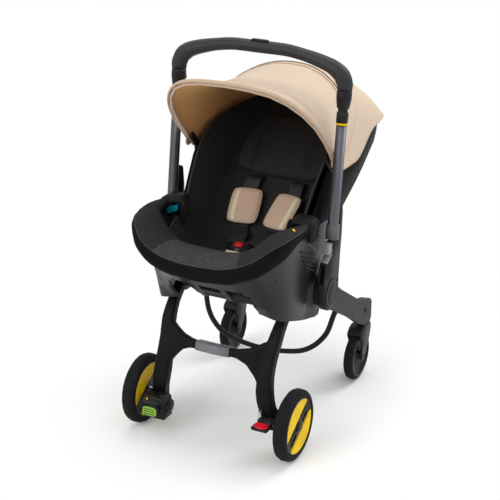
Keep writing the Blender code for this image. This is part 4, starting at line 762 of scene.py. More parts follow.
half = [ring_fine(ring, RIM_AROUND) for ring in RIM]
mirror_rings = [[flipped(p) for p in ring] for ring in reversed(half[1:])]
columns = [spline(column, RIM_ALONG) for column in zip(*(mirror_rings + half))]
rim_rings = [list(ring) for ring in zip(*columns)]
PER_RING, RINGS = len(rim_rings[0]), len(rim_rings)
MIDDLE_RING = RINGS // 2
OUTER_SEAM, INNER_SEAM = 0, 2 * RIM_AROUND + 2


def cross_seam(k):
    """Where the seam beside the middle panel passes ring point k: it leans out to the outer seam."""
    lean = (INNER_SEAM - k) / INNER_SEAM
    return (1.02 + .42 * lean) * RIM_ALONG


rim_bm = bmesh.new()
grid = []
for i, ring in enumerate(rim_rings):
    middle = sum(ring, Vector()) / len(ring)
    end = min(i, RINGS - 1 - i) / RIM_ALONG
    shrink = .0022 * min(end * 2, 1)
    line = []
    for k, p in enumerate(ring):
        seam_depth = .0022 * min(end * 3, 1) if k in (OUTER_SEAM, INNER_SEAM) else 0
        line.append(rim_bm.verts.new(p + (middle - p).normalized() * (shrink + seam_depth)))
    grid.append(line)
for i, (a, b) in enumerate(zip(grid, grid[1:])):
    for k in range(PER_RING):
        m = (k + 1) % PER_RING
        face = rim_bm.faces.new((a[k], b[k], b[m], a[m]))
        if OUTER_SEAM <= k < INNER_SEAM:
            face.material_index = 2 if abs(i + .5 - MIDDLE_RING) < cross_seam(k + .5) else 1
rim_bm.faces.new(grid[0][::-1])
rim_bm.faces.new(grid[-1])
bmesh.ops.recalc_face_normals(rim_bm, faces=rim_bm.faces)
rim = from_bmesh(rim_bm, "rim_padding", None, 180)
for look in (RIM_BAND, RIM_GREY, RIM_HEATHER):
    rim.data.materials.append(look)
pins = {}
for i in range(RINGS):
    for k in range(PER_RING):
        index = i * PER_RING + k
        offset = abs(i - MIDDLE_RING)
        if k in (OUTER_SEAM, INNER_SEAM) or i in (0, RINGS - 1):
            pins[index] = 1.0
        elif OUTER_SEAM < k < INNER_SEAM and abs(offset - cross_seam(k)) < .55:
            pins[index] = .9
        elif 3 * RIM_AROUND < k < 5 * RIM_AROUND:
            pins[index] = .95
swell(rim, pins, pressure=5, cap=.0055)
spots = [v.co.copy() for v in rim.data.vertices]
normals = [v.normal.copy() for v in rim.data.vertices]
for i in range(RINGS):
    for k in range(PER_RING):
        index = i * PER_RING + k
        p = spots[index] - SHIFT
        offset = abs(i - MIDDLE_RING)
        near = min(abs(k - OUTER_SEAM), PER_RING - k + OUTER_SEAM, abs(k - INNER_SEAM))
        lift = noise.noise(p * 30) * .0013 + noise.noise(p * 75) * .0008 * (1.2 if near < 5 else .6)
        if OUTER_SEAM < k < INNER_SEAM:
            lift -= .0022 * math.exp(-((offset - cross_seam(k)) / .8) ** 2)
            if offset < cross_seam(k):
                arc = math.sin(offset * .62 + (k - INNER_SEAM / 2) ** 2 * .045)
                lift -= .0008 * max(arc, 0) ** 6
            else:
                fade = math.exp(-((offset - cross_seam(k) - 9) / 8) ** 2) * math.sin(math.pi * k / INNER_SEAM)
                crease = math.sin(offset * 1.15 + k * .42 + 2.4 * noise.noise(p * 22))
                lift -= .0026 * fade * max(crease, 0) ** 3
        rim.data.vertices[index].co = spots[index] + normals[index] * lift
subdivide = rim.modifiers.new("fine", "SUBSURF")
subdivide.levels = subdivide.render_levels = 1
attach(rim, SEAT_BODY)
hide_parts("rim_cushion")


def on_rim(i, k, lift=0.0):
    index = i * PER_RING + k % PER_RING
    v = rim.data.vertices[index]
    return v.co - SHIFT + normals[index] * lift


for name, k, lift, radius in (("outer", OUTER_SEAM, .0004, .0011), ("inner", INNER_SEAM, .0003, .0010)):
    tube(f"rim_{name}_piping", [on_rim(i, k, lift) for i in range(3, RINGS - 3)], radius, PIPING_PAINTED_HIGHLIGHT, sides=6,
         slot="grey_cloth")
for side, sign in SIDES[::-1]:
    line = []
    for k in range(OUTER_SEAM + 1, INNER_SEAM):
        at = MIDDLE_RING + sign * (cross_seam(k) + .75)
        i = int(at)
        line.append(on_rim(i, k, .0006).lerp(on_rim(i + 1, k, .0006), at - i))
    stitches(f"rim_cross_stitches_{side}", line, THREAD, slot="grey_cloth")

# Seat lining and pads
SEAT = [
    [(0, .000, .480), (0, .012, .462), (0, .032, .449), (0, .052, .442), (0, .060, .440)],
    [(.070, .000, .485), (.062, .012, .465), (.055, .032, .449), (.040, .052, .442), (0, .066, .439)],
    [(.108, .006, .498), (.098, .018, .475), (.086, .040, .453), (.062, .062, .442), (0, .080, .438)],
    [(.130, .016, .508), (.118, .030, .485), (.104, .057, .455), (.078, .082, .441), (0, .098, .436)],
    [(.144, .040, .514), (.130, .052, .490), (.114, .082, .455), (.086, .108, .439), (0, .122, .434)],
    [(.151, .080, .520), (.137, .087, .490), (.119, .117, .455), (.091, .140, .438), (0, .155, .433)],
    [(.155, .125, .530), (.141, .135, .500), (.122, .162, .462), (.093, .185, .443), (0, .200, .440)],
    [(.160, .180, .605), (.143, .197, .553), (.124, .228, .508), (.093, .250, .487), (0, .262, .482)],
    [(.166, .240, .668), (.143, .262, .610), (.124, .290, .560), (.092, .312, .540), (0, .325, .535)],
    [(.166, .315, .700), (.142, .338, .650), (.122, .358, .607), (.090, .375, .588), (0, .385, .583)],
    [(.160, .395, .712), (.137, .415, .680), (.116, .428, .648), (.085, .437, .632), (0, .445, .628)],
    [(.148, .480, .716), (.125, .487, .698), (.103, .492, .680), (.072, .495, .670), (0, .500, .665)],
    [(.122, .555, .718), (.100, .545, .708), (.080, .537, .697), (.055, .530, .690), (0, .530, .686)],
    [(.070, .602, .708), (.055, .583, .706), (.040, .565, .700), (.030, .550, .694), (0, .550, .692)],
    [(0, .613, .703), (0, .592, .702), (0, .575, .698), (0, .560, .694), (0, .560, .694)],
]
SEAT_HEART = Vector((0, .25, .62))
SEAT_FINE = 8
LINER_T = .0035
FINE_SEAT = finer(SEAT, SEAT_FINE, SEAT_FINE)
LAST_ROW, LAST_COLUMN = len(SEAT) - 1, len(SEAT[0]) - 1


def seat_point(row, column, side):
    """A point of the seat surface: row along it, column from its edge to the middle, side -1 or 1."""
    u = min(max(row, 0), LAST_ROW) * SEAT_FINE
    v = min(max(column, 0), LAST_COLUMN) * SEAT_FINE
    i, j = min(int(u), len(FINE_SEAT) - 2), min(int(v), len(FINE_SEAT[0]) - 2)
    s, t = u - i, v - j
    low, high = (FINE_SEAT[n][j].lerp(FINE_SEAT[n][j + 1], t) for n in (i, i + 1))
    return flipped(low.lerp(high, s), side)


seat_rows = whole([row[::2] for row in FINE_SEAT[2:-1:2]])


def liner_relief(i, j, p):
    edge = min(j, len(seat_rows[0]) - 1 - j)
    soft = noise.noise(p * 16) * .0010 + noise.noise(p * 42) * .0005
    fold = .0011 * math.exp(-((edge - 8) / .9) ** 2) + .0008 * math.exp(-((edge - 12) / .7) ** 2)
    return LINER_T * .8 + (soft + fold) * min(edge / 3, 1)


lining = shell_sheet("seat_lining", seat_rows, tuple(SEAT_HEART), liner_relief, SEAT_BLACK, SEAT_BLACK,
                     LINER_T * .8)
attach(lining, SEAT_BODY)
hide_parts("seat_liner")
for name, side in SIDES[::-1]:
    edge_line = [seat_point(r / 6, .06, side) for r in range(9, 70)]
    toward = [(SEAT_HEART - p).normalized() for p in edge_line]
    tube(f"bolster_piping_{name}", [p + t * .0006 for p, t in zip(edge_line, toward)], .0013, PIPING_PAINTED_HIGHLIGHT, sides=6)
    crease = [seat_point(r / 6, 2.05, side) for r in range(36, 66)]
    stitches(f"bolster_stitches_{name}", [p + (SEAT_HEART - p).normalized() * .0007 for p in crease], THREAD)


def seat_normal(row, column, side):
    a = seat_point(row + .05, column, side) - seat_point(row - .05, column, side)
    b = seat_point(row, column + .05, side) - seat_point(row, column - .05, side)
    normal = a.cross(b)
    if normal.length < 1e-10:
        return (SEAT_HEART - seat_point(row, column, side)).normalized()
    normal.normalize()
    return normal if normal.dot(SEAT_HEART - seat_point(row, column, side)) > 0 else -normal


def pillow(name, front, back, pinned, looks, cap, relief, panel=None):
    """A closed pad between two grids, puffed between its pinned lines, then given its fine relief."""
    bm = bmesh.new()
    faces_front = [[bm.verts.new(p) for p in row] for row in front]
    faces_back = [[bm.verts.new(p) for p in row] for row in back]
    n_i, n_j = len(front), len(front[0])
    for corners in cells(n_i, n_j):
        face = bm.faces.new([faces_front[i][j] for i, j in corners])
        face.material_index = panel(*corners[0]) if panel else 0
        bm.faces.new([faces_back[i][j] for i, j in corners[:1] + corners[:0:-1]])
    sew(bm, faces_front, faces_back)
    piece = from_bmesh(bm, name, None, 180)
    for look in looks:
        piece.data.materials.append(look)
    pins = {}
    for i in range(n_i):
        for j in range(n_j):
            weight = pinned(i, j)
            if weight:
                pins[i * n_j + j] = weight
            pins[n_i * n_j + i * n_j + j] = 1.0
    swell(piece, pins, cap=cap)
    normals = [v.normal.copy() for v in piece.data.vertices]
    for i in range(n_i):
        for j in range(n_j):
            index = i * n_j + j
            v = piece.data.vertices[index]
            v.co += normals[index] * relief(i, j, v.co - SHIFT)
    fine = piece.modifiers.new("fine", "SUBSURF")
    fine.levels = fine.render_levels = 1
    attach(piece, SEAT_BODY)
    spots = [[piece.data.vertices[i * n_j + j].co - SHIFT for j in range(n_j)] for i in range(n_i)]
    return piece, spots


def pad_faces(count, spot):
    """Front and back grids of a pad: spot(a, b) gives both points at shares of its size, -1 to 1."""
    n_i, n_j = count
    pairs = [[spot(2 * i / (n_i - 1) - 1, 2 * j / (n_j - 1) - 1) for j in range(n_j)] for i in range(n_i)]
    return [[[pair[k] for pair in row] for row in pairs] for k in (0, 1)]


def pad_on_seat(name, first, last, edge, thick, rim_share, channels, count, look, slot, cap=.005,
                round_by=.55):
    """A crowned pad on the seat, with rounded corners and sewn channels at shares of its half width."""
    n_i, n_j = count

    def spot(a, b):
        a_in = a * math.sqrt(max(1 - round_by * b * b / 2, 0))
        b_in = b * math.sqrt(max(1 - round_by * a * a / 2, 0))
        row = first + (last - first) * (a_in + 1) / 2
        column = LAST_COLUMN - abs(b_in) * (LAST_COLUMN - edge)
        side = 1 if b_in > 0 else -1
        p, n = seat_point(row, column, side), seat_normal(row, column, side)
        crown = math.sqrt(max((1 - abs(b) ** 4) * (1 - a ** 6), 0))
        dent = sum(.30 * math.exp(-((abs(b) - at) / .05) ** 2) for at in channels)
        rise = thick * (rim_share + (1 - rim_share) * crown) * (1 - dent)
        return p + n * (.0006 + rise), p + n * .0004

    front, back = pad_faces(count, spot)
    marks = [round((1 + sign * at) / 2 * (n_j - 1)) for at in channels for sign in (-1, 1)]

    def pinned(i, j):
        if i in (0, n_i - 1) or j in (0, n_j - 1):
            return 1.0
        return .92 if j in marks else 0

    def relief(i, j, p):
        a, b = 2 * i / (n_i - 1) - 1, 2 * j / (n_j - 1) - 1
        inside = min((1 - abs(a)) * 5, (1 - abs(b)) * 5, 1)
        near = min([abs(j - m) for m in marks] or [9])
        pucker = noise.noise(Vector((p.x * 20, p.y * 140, p.z * 140))) * .0007 * math.exp(-near / 2.5)
        return (noise.noise(p * 26) * .0012 + noise.noise(p * 70) * .0004) * inside + pucker \
            - .0012 * math.exp(-(near / .8) ** 2) * min(inside, 1)

    piece, spots = pillow(name, front, back, pinned, (look,), cap, relief)
    for k, m in enumerate(marks):
        line = []
        for i in range(2, n_i - 2):
            row = first + (last - first) * i / (n_i - 1)
            line.append(spots[i][m] + seat_normal(row, LAST_COLUMN - 1, 1) * .0004)
        stitches(f"{name}_stitches_{k}", line, THREAD, slot=slot)
    return piece


head = pad_on_seat("head_support", 8.45, 11.05, 1.9, .026, .42, (.42,), (27, 41), PAD_BLACK, "dark_cloth",
                   cap=.006)
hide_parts("head_pad")
insert = pad_on_seat("body_support", 6.05, 8.0, 3.0, .0036, .6, (.5,), (23, 33), PAD_BLACK, "dark_cloth",
                     cap=.0022, round_by=.3)
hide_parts("body_insert")


# Shoulder pads, straps and buckle
PAD_HALF_W, PAD_HALF_T = .0375, .0085
PAD_FOOT, PAD_HEAD = Vector((.0440, .2130, .4812)), Vector((.0579, .2880, .5430))
PAD_SIDE = Vector((1, -.27, .036)).normalized()
pad_up = (PAD_HEAD - PAD_FOOT).normalized()
pad_out = PAD_SIDE.cross(pad_up).normalized()
ROUND_BY = .42          # how far a flat pad's corners are drawn in


def flat_pad(name, foot, top, side_way, out, half_w, half_t, look, strip=None, mirror=1, count=(25, 21),
             cap=.0025):
    """A sewn pad: rounded outline, crowned face, flat back, and a lighter strip along one side."""
    n_i, n_j = count

    def spot(a, b):
        a_in = a * math.sqrt(max(1 - ROUND_BY * b ** 4 / 2, 0))
        b_in = b * math.sqrt(max(1 - ROUND_BY * a ** 4 / 2, 0))
        p = foot.lerp(top, (a_in + 1) / 2) + side_way * half_w * b_in
        crown = math.sqrt(max((1 - abs(b) ** 5) * (1 - abs(a) ** 8), 0))
        up_by, down_by = half_t * (.12 + .76 * crown), half_t * (.12 + .70 * crown)
        return flipped(p + out * up_by, mirror), flipped(p - out * down_by, mirror)

    front, back = pad_faces(count, spot)

    def pinned(i, j):
        if i in (0, n_i - 1) or j in (0, n_j - 1):
            return 1.0
        return .9 if strip and j in strip else (.85 if i in (1, n_i - 2) or j in (1, n_j - 2) else 0)

    def relief(i, j, p):
        edge = min(i, j, n_i - 1 - i, n_j - 1 - j)
        seam = -.0009 * math.exp(-((edge - 1.5) / .7) ** 2)
        if strip:
            seam -= .0005 * sum(math.exp(-((j - s) / .6) ** 2) for s in strip)
        return noise.noise(p * 60) * .0005 * min(edge / 3, 1) + seam

    def panel(i, j):
        return 1 if strip and strip[0] <= j < strip[1] and 1 <= i < n_i - 2 else 0

    piece, spots = pillow(name, front, back, pinned, (look, REFLECT), cap, relief, panel)
    edge_line = [spots[i][j] for i, j in border(n_i, n_j)]
    return piece, spots, edge_line + edge_line[:2]


STRIP = (15, 18)
for name, mirror in SIDES:
    pad, spots, edge_line = flat_pad(f"shoulder_cover_{name}", PAD_FOOT, PAD_HEAD, PAD_SIDE, pad_out,
                                     PAD_HALF_W, PAD_HALF_T, PAD_BEIGE, strip=STRIP,
                                     mirror=mirror)
    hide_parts(f"shoulder_pad_{name}")
    tube(f"shoulder_piping_{name}", edge_line, .0013, PAD_EDGE, sides=6, slot="sand_cloth")
    for s in STRIP:
        line = [row[s] + pad_out * .0004 for row in spots[2:-2]]
        stitches(f"shoulder_stitches_{name}_{s}", line, THREAD_SAND, slot="sand_cloth")
CROTCH_FOOT, CROTCH_HEAD = Vector((0, .0515, .4452)), Vector((0, .0955, .4510))
CROTCH_HALF_W, CROTCH_HALF_T = .0272, .0050
crotch, _, edge_line = flat_pad("crotch_pad", CROTCH_FOOT, CROTCH_HEAD, Vector((-1, 0, 0)),
                                Vector((0, -.21, .978)), CROTCH_HALF_W, CROTCH_HALF_T, PAD_BLACK,
                                count=(17, 15), cap=.0015)
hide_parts("crotch_strap")
tube("crotch_piping", edge_line, .0010, PIPING_PAINTED_HIGHLIGHT, sides=6)

BUCKLE_MIDDLE, BUCKLE_TILT = Vector((0, .1165, .4560)), math.radians(13)
BUCKLE_SIZE = Vector((.0520, .0340, .0200))
TONGUE_SIZE = Vector((.0440, .0100, .0036))
STRAP_HALF_W, STRAP_HALF_T = .0190, .0009
PULL_HALF_W = .0118
CLEAR = .0003
buckle_turn = Matrix.Rotation(BUCKLE_TILT, 3, "X")
strap_back = -pad_out * (PAD_HALF_T + STRAP_HALF_T + CLEAR)
tongue_y = BUCKLE_SIZE.y / 2 + CLEAR + TONGUE_SIZE.y / 2
strap_foot = BUCKLE_MIDDLE + buckle_turn @ Vector((.0202, tongue_y, 0))
STRAP_PATH = [strap_foot, (.0300, .1780, .4640), PAD_FOOT + strap_back - pad_up * .0040,
              PAD_FOOT + strap_back, PAD_HEAD + strap_back, PAD_HEAD + strap_back + pad_up * .0060,
              (.0595, .3200, .5620), (.0595, .3500, .5570)]
# Outline of the webbing's section, in half widths and half thicknesses
WEBBING = [(-1, 0), (-.97, .9), (-.90, 1.15), (-.84, .8), (0, .72), (.84, .8), (.90, 1.15), (.97, .9), (1, 0),
           (.97, -.9), (.9, -1.1), (0, -.75), (-.9, -1.1), (-.97, -.9)]


def ribbon(name, path, half_w, half_t, side_way, mirror=1):
    """Flat woven webbing with rounded, slightly thicker edges."""
    bm = bmesh.new()
    rings = []
    for i, spot in enumerate(path):
        ahead = heading(path, i)
        across = (side_way - ahead * side_way.dot(ahead)).normalized()
        up = across.cross(ahead)
        ring = [spot + across * half_w * a + up * half_t * b for a, b in WEBBING]
        rings.append([bm.verts.new(flipped(p, mirror)) for p in ring])
    loft(bm, rings)
    bmesh.ops.recalc_face_normals(bm, faces=bm.faces)
    return trim(bm, name, STRAP, 60, SEAT_BODY, "webbing")


strap_line = resampled(spline(STRAP_PATH, 6), .004)
for name, mirror in SIDES:
    piece = ribbon(f"harness_webbing_{name}", strap_line, STRAP_HALF_W, STRAP_HALF_T, PAD_SIDE, mirror)
    if mirror > 0:
        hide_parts("harness_straps")


def block(name, middle, size, look, turn=None, bevel=.0008, segments=2, body=SEAT_BODY, slot="dark_plastic"):
    """A small moulded block with rounded edges."""
    bm = bmesh.new()
    bmesh.ops.create_cube(bm, size=1)
    for v in bm.verts:
        v.co *= Vector(size)
    bmesh.ops.bevel(bm, geom=list(bm.edges), offset=bevel, segments=segments, profile=.5, affect="EDGES")
    for v in bm.verts:
        v.co = Vector(middle) + (turn @ v.co if turn else v.co)
    return trim(bm, name, look, 50, body, slot)


tongue_middle = BUCKLE_MIDDLE + buckle_turn @ Vector((0, tongue_y, 0))
block("harness_tongue", tongue_middle, TONGUE_SIZE, GLOSS_BLACK, buckle_turn, .0010)
PULL = [(0, .0283, .4535), (0, .0138, .4635), (0, .0038, .4800), (0, .0028, .4890)]
piece = ribbon("adjuster_webbing", resampled(spline(PULL, 6), .002), PULL_HALF_W, STRAP_HALF_T,
               Vector((1, 0, 0)))
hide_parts("adjuster_strap")


# Small trim
def paint(name, look, chosen):
    """Gives another material to a skin's faces whose middle and normal pass a test."""
    mesh = SKINS[name].data
    mesh.materials.append(look)
    for face in mesh.polygons:
        if chosen(face.center - SHIFT, face.normal):
            face.material_index = len(mesh.materials) - 1


def on_skin(name, start, way, lift=0.0):
    """Where a straight line from a point meets a skin, raised from it by a little."""
    spot, normal, _, _ = skin_tree(name).ray_cast(Vector(start) + SHIFT, Vector(way))
    return spot - SHIFT + normal * lift


def disc(name, middle, out, radius, thick, look, body=SEAT_BODY, slot="dark_plastic", outline=None,
         edge=.0005):
    """A thin round, oval or toothed plate lying on a surface; outline gives its reach at each angle."""
    turn = Vector(out).to_track_quat("Z", "X").to_matrix()
    rings = []
    for height, inset in ((0, 0), (thick - edge, 0), (thick, edge)):
        ring = []
        for a in round_angles(48):
            reach = (outline(a) if outline else radius) - inset
            ring.append(Vector(middle) + turn @ Vector((math.cos(a) * reach, math.sin(a) * reach, height)))
        rings.append(ring)
    bm = bmesh.new()
    loft(bm, [[bm.verts.new(p) for p in ring] for ring in rings])
    return trim(bm, name, look, 40, body, slot)


def rounded(half_long, half_high, power=3.2):
    """An outline between an oval and a rectangle."""
    def reach(a):
        total = abs(math.cos(a) / half_long) ** power + abs(math.sin(a) / half_high) ** power
        return total ** (-1 / power)

    return reach


def circle(x, middle, radius, count):
    """Points of a circle across X, round a middle given by its Y and Z."""
    return [Vector((x, middle[0] + radius * math.cos(a), middle[1] + radius * math.sin(a)))
            for a in round_angles(count)]


CAP_FROM = .2175
COLLAR_TOP_Z = .5350
HUB = (.165, .365)
HUB_RINGS = [(.0305, .2243, .0009, COLLAR_GREY), (.0345, .2226, .0010, GLOSS_BLACK)]
RECESS_Y, RECESS_X, RECESS_Z = .1402, (.2055, .2212), (.4035, .4475)
NOTCH_Y, NOTCH_LOW_Z = .163, .468
RAMP_Y, RAMP_Z = (.134, .164), (.452, .4695)
LOUVRES = 5
BESIDE_X = .25


def on_housing(way, low, high, count, lift=0.0):
    """A line on the lower housing's side, between two places given by Y and Z."""
    first, last = (Vector((way * BESIDE_X, *spot)) for spot in (low, high))
    return [on_skin("base_housing", first.lerp(last, t / (count - 1)), (-way, 0, 0), lift)
            for t in range(count)]


def in_recess(c, n):
    return c.y < RECESS_Y and RECESS_Z[0] < c.z < RECESS_Z[1] and RECESS_X[0] < abs(c.x) < RECESS_X[1]


def on_notch(c, n):
    return n.y < -.5 and abs(c.y - NOTCH_Y) < .0015 and c.z > NOTCH_LOW_Z


def on_ramp(c, n):
    return n.z > .5 and n.y < -.2 and RAMP_Y[0] < c.y < RAMP_Y[1] and RAMP_Z[0] < c.z < RAMP_Z[1]


for side, way in SIDES:
    paint(f"wheel_axle_{side}", GLOSS_BLACK, lambda c, n: abs(c.x) > CAP_FROM)
    disc(f"hub_cap_ring_{side}", (way * .2216, 0, WHEEL_MIDDLE_Z), (way, 0, 0), .0105, .0012, BLACK,
         f"wheel_unit_{side}")
    # The front of the handle arm: a dark recess, and a pale ramp under the button
    paint(f"arm_{side}", BLACK, in_recess)
    paint(f"arm_{side}", BLACK, on_notch)
    paint(f"arm_{side}", LIGHT_GREY, on_ramp)
    button = block(f"arm_button_face_{side}", (way * .21325, .1560, .4828), (.0162, .0220, .0250),
                   LIGHT_GREY, None, .0007, 2, f"arm_press_{side}", "light_plastic")
    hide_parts(f"arm_button_{side}")
    paint(f"handle_tube_{side}", COLLAR_GREY, lambda c, n: c.z < COLLAR_TOP_Z)
    # Louvres, corner line and screw on the side of the lower housing
    for k in range(LOUVRES):
        low, high = (.0600 + .0090 * k, .5040 - .0142 * k), (.1424 + .0005 * k, .4677 - .0111 * k)
        tube(f"louvre_{side}_{k}", on_housing(way, low, high, 7, .0002), .0027, BLACK,
             slot="dark_plastic")
    tube(f"corner_line_{side}", on_housing(way, (.1050, .5080), (.1500, .4745), 5), .0007, LIGHT_GREY,
         sides=6, slot="dark_plastic")
    screw_way = Vector((way * .65, -.70, -.31))
    screw_at = on_skin("base_housing", (way * .2280, -.0879, .4268), -screw_way, -.0006)
    disc(f"housing_screw_{side}", screw_at, screw_way, .0034, .0010, GLOSS_BLACK)
    # Black fitting that holds the front bow's end, with a screw
    along = Vector((0, math.sin(FRONT_ANGLE), math.cos(FRONT_ANGLE)))
    lean = Matrix.Rotation(FRONT_ANGLE, 3, "X")
    spot = Vector((way * .1775, PIVOT.y, PIVOT.z)) + along * .0260
    block(f"canopy_hinge_{side}", spot, (.0070, .0190, .0620), BLACK, lean.inverted(), .0026, 3,
          "canopy_front")
    screw_at = spot + along * .0180 - Vector((way * .0034, 0, 0))
    disc(f"canopy_hinge_screw_{side}", screw_at, (-way, 0, 0), .0042, .0012, GLOSS_BLACK, "canopy_front")
    # Rings round the hub disc
    for radius, x, thick, look in HUB_RINGS:
        tube(f"hub_ring_{side}_{int(radius * 1e4)}", circle(way * x, HUB, radius, 40), thick, look,
             "handle", sides=6, closed=True, lift=(1, 0, 0), slot="dark_plastic")
    # Knob on the caster arm
    disc(f"caster_knob_{side}", (way * .2034, .4472, .1971), (way, 0, 0), .0056, .0030, BLACK, "caster_frame")

# Yellow crescents, dished plates that fill the wheel from its slanting spoke out to the tyre
CRESCENT_R, SPOKE_HALF, SPOKE_TURN = .0672, .0208, math.radians(31)
WHEEL_MIDDLE_X, WEB_FACE = .20365, .0108


def crescent_rings(turn, rise):
    """Outline of one crescent, then the same drawn in by its rolled edge, then its dished floor."""
    for inset, x in ((0, 0), (0, rise - .0012), (.0010, rise), (.0026, rise), (.0060, rise - .0016)):
        radius, chord = CRESCENT_R - inset, SPOKE_HALF + inset
        half = math.acos(chord / radius)
        angles = [turn - half + 2 * half * t / 28 for t in range(29)]
        arc = [(radius * math.cos(a), radius * math.sin(a)) for a in angles]
        (y0, z0), (y1, z1) = arc[-1], arc[0]
        yield x, arc + [(y0 + (y1 - y0) * t / 10, z0 + (z1 - z0) * t / 10) for t in range(1, 10)]


for side, way in SIDES:
    for face in (1, -1):
        bm = bmesh.new()
        for turn in (SPOKE_TURN + math.pi / 2, SPOKE_TURN - math.pi / 2):
            rows = []
            for rise, outline in crescent_rings(turn, .0052):
                x = way * (WHEEL_MIDDLE_X + face * (WEB_FACE + rise))
                rows.append([bm.verts.new((x, y, WHEEL_MIDDLE_Z + z)) for y, z in outline])
            loft(bm, rows)
        bmesh.ops.recalc_face_normals(bm, faces=bm.faces)
        plates = trim(bm, f"crescents_{side}_{face + 1}", YELLOW, 50, f"wheel_unit_{side}", "yellow")
        if face > 0:
            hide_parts(f"wheel_inset_{side}")

# Brake pads, the left brake's knurled adjuster, the right leg's two thin rods and the left brake's mark
disc("brake_pad_red", (.1525, -.0680, .1058), (0, -.09, 1), 0, .0026, RED, "brake_right", "red",
     rounded(.0112, .0178, 2.6), .0009)
disc("brake_pad_green", (-.1455, -.0738, .0725), (0, -1, 0), 0, .0026, GREEN, "brake_left", "green",
     rounded(.0118, .0190, 4.0), .0009)
for k in (-1, 0, 1):
    line = [Vector((-.1455 + x, -.0765, .0725 + .0066 * k)) for x in (-.0145, 0, .0145)]
    tube(f"brake_pad_groove_{k + 1}", line, .0011, GREEN_DARK, "brake_left", sides=6, slot="green")
KNOB_MIDDLE = Vector((-.1120, -.0380, .0800))
disc("brake_adjuster", KNOB_MIDDLE, (1, 0, 0), 0, .0065, BLACK, "legs",
     outline=lambda a: .0150 + .0010 * math.cos(12 * a))
disc("brake_adjuster_cap", KNOB_MIDDLE + Vector((.0060, 0, 0)), (1, 0, 0), .0090, .0030, GLOSS_BLACK, "legs")
ROD_Y, ROD_FOOT_Z = -.0450, .1120
for k, (x, top) in enumerate(((.1346, .1384), (.1400, .1350))):
    line = [Vector((x, ROD_Y, z)) for z in (top, (top + ROD_FOOT_Z) / 2, ROD_FOOT_Z)]
    tube(f"brake_rod_{k}", line, .0008, STEEL, "legs", slot="steel")
disc("brake_mark", (-.1600, -.0600, .0975), (0, -1, 0), 0, .0016, YELLOW, "legs", "yellow",
     rounded(.0030, .0022))

# A teal plate on the left belt guide, and the pale strip on the crotch pad
TEAL_CORNERS = [(-.1860, .0953, .5385), (-.1510, .0953, .5500), (-.1530, .0953, .5340),
                (-.1795, .0953, .5215)]
bm = bmesh.new()
loft(bm, [[bm.verts.new((x, y - rise, z)) for x, y, z in TEAL_CORNERS] for rise in (.0016, 0)])
bmesh.ops.recalc_face_normals(bm, faces=bm.faces)
bmesh.ops.bevel(bm, geom=list(bm.edges), offset=.0006, segments=2, affect="EDGES")
trim(bm, "teal_plate", TEAL, 40, SEAT_BODY, SLOT["belt_guide_left"])
block("crotch_strip", (-.0040, .0915, .4564), (.0340, .0075, .0010), REFLECT,
      Matrix.Rotation(math.radians(12), 3, "X"),
      .0003, 1, slot="dark_cloth")

# Hem of the visor, sewn round the front bow down to its hinge
bm = bmesh.new()
bm.from_mesh(SKINS["canopy_bow"].data)
by_hinge = [face for face in bm.faces if (face.calc_center_median() - SHIFT - PIVOT).yz.length < .026]
bmesh.ops.delete(bm, geom=by_hinge, context="FACES")
bmesh.ops.recalc_face_normals(bm, faces=bm.faces)
bmesh.ops.solidify(bm, geom=list(bm.faces), thickness=-.0011)
sleeve = trim(bm, "bow_sleeve", SAND_TRIM, 180, "canopy_front", "sand_cloth")
sleeve.data.transform(Matrix.Translation(-SHIFT))    # a skin's points are in the frame already

# Latch and lug of the grip's two hinges: the way each faces, its height and its size
LATCHES = [(-1, .8330, (.0150, .0080, .0190)), (1, .8200, (.0120, .0190, .0130))]
for side, way in SIDES:
    for k, (facing, z, size) in enumerate(LATCHES):
        spot = on_skin(f"handle_stem_{side}", (way * .2155, .24 + facing * .15, z), (0, -facing, 0))
        spot.y += facing * (size[1] / 2 - .0050)
        block(f"grip_latch_{side}_{k}", spot, size, BLACK, Matrix.Rotation(math.radians(14), 3, "X"),
              .0022, 2, "handle_top")

# Ribs in relief on the wheel's spoke
RIB_OFFSET, RIB_REACH = .0115, (.0200, .0350, .0500)
for side, way in SIDES:
    x = way * (WHEEL_MIDDLE_X + WEB_FACE + .0030)
    cos, sin = math.cos(SPOKE_TURN), math.sin(SPOKE_TURN)
    for k, offset in enumerate((-RIB_OFFSET, RIB_OFFSET)):
        for end in (-1, 1):
            ends = [Vector((x, cos * end * r - sin * offset, WHEEL_MIDDLE_Z + sin * end * r + cos * offset))
                    for r in RIB_REACH]
            tube(f"spoke_rib_{side}_{2 * k + (end + 1) // 2}", ends, .0022, GLOSS_BLACK,
                 f"wheel_unit_{side}", slot="dark_plastic")

# Rounded lip of each belt guide, and the yellow mark on the right of the rim
GUIDE_LIP = [(.1440, .5610), (.1385, .5480), (.1372, .5280), (.1380, .5090), (.1460, .4985), (.1580, .4970)]
for side, way in SIDES:
    lip = spline([(way * x, .0985, z) for x, z in GUIDE_LIP], 5)
    tube(f"guide_lip_{side}", lip, .0044, GLOSS_BLACK, sides=12, lift=(0, 1, 0), slot="dark_plastic")
disc("rim_mark", (.1896, .0153, .5736), (.57, .04, .82), 0, .0010, YELLOW, slot="yellow",
     outline=rounded(.0042, .0030, 2.4))

# Rounded lower ends of the visor's hem
for side, way in SIDES:
    end = on_bow(way * .1935, .0290, FRONT_ANGLE)
    disc(f"visor_end_{side}", end, (way, -.10, 0), 0, .0040, SAND_TRIM, "canopy_front", "sand_cloth",
         rounded(.0125, .0165, 2.2), .0012)

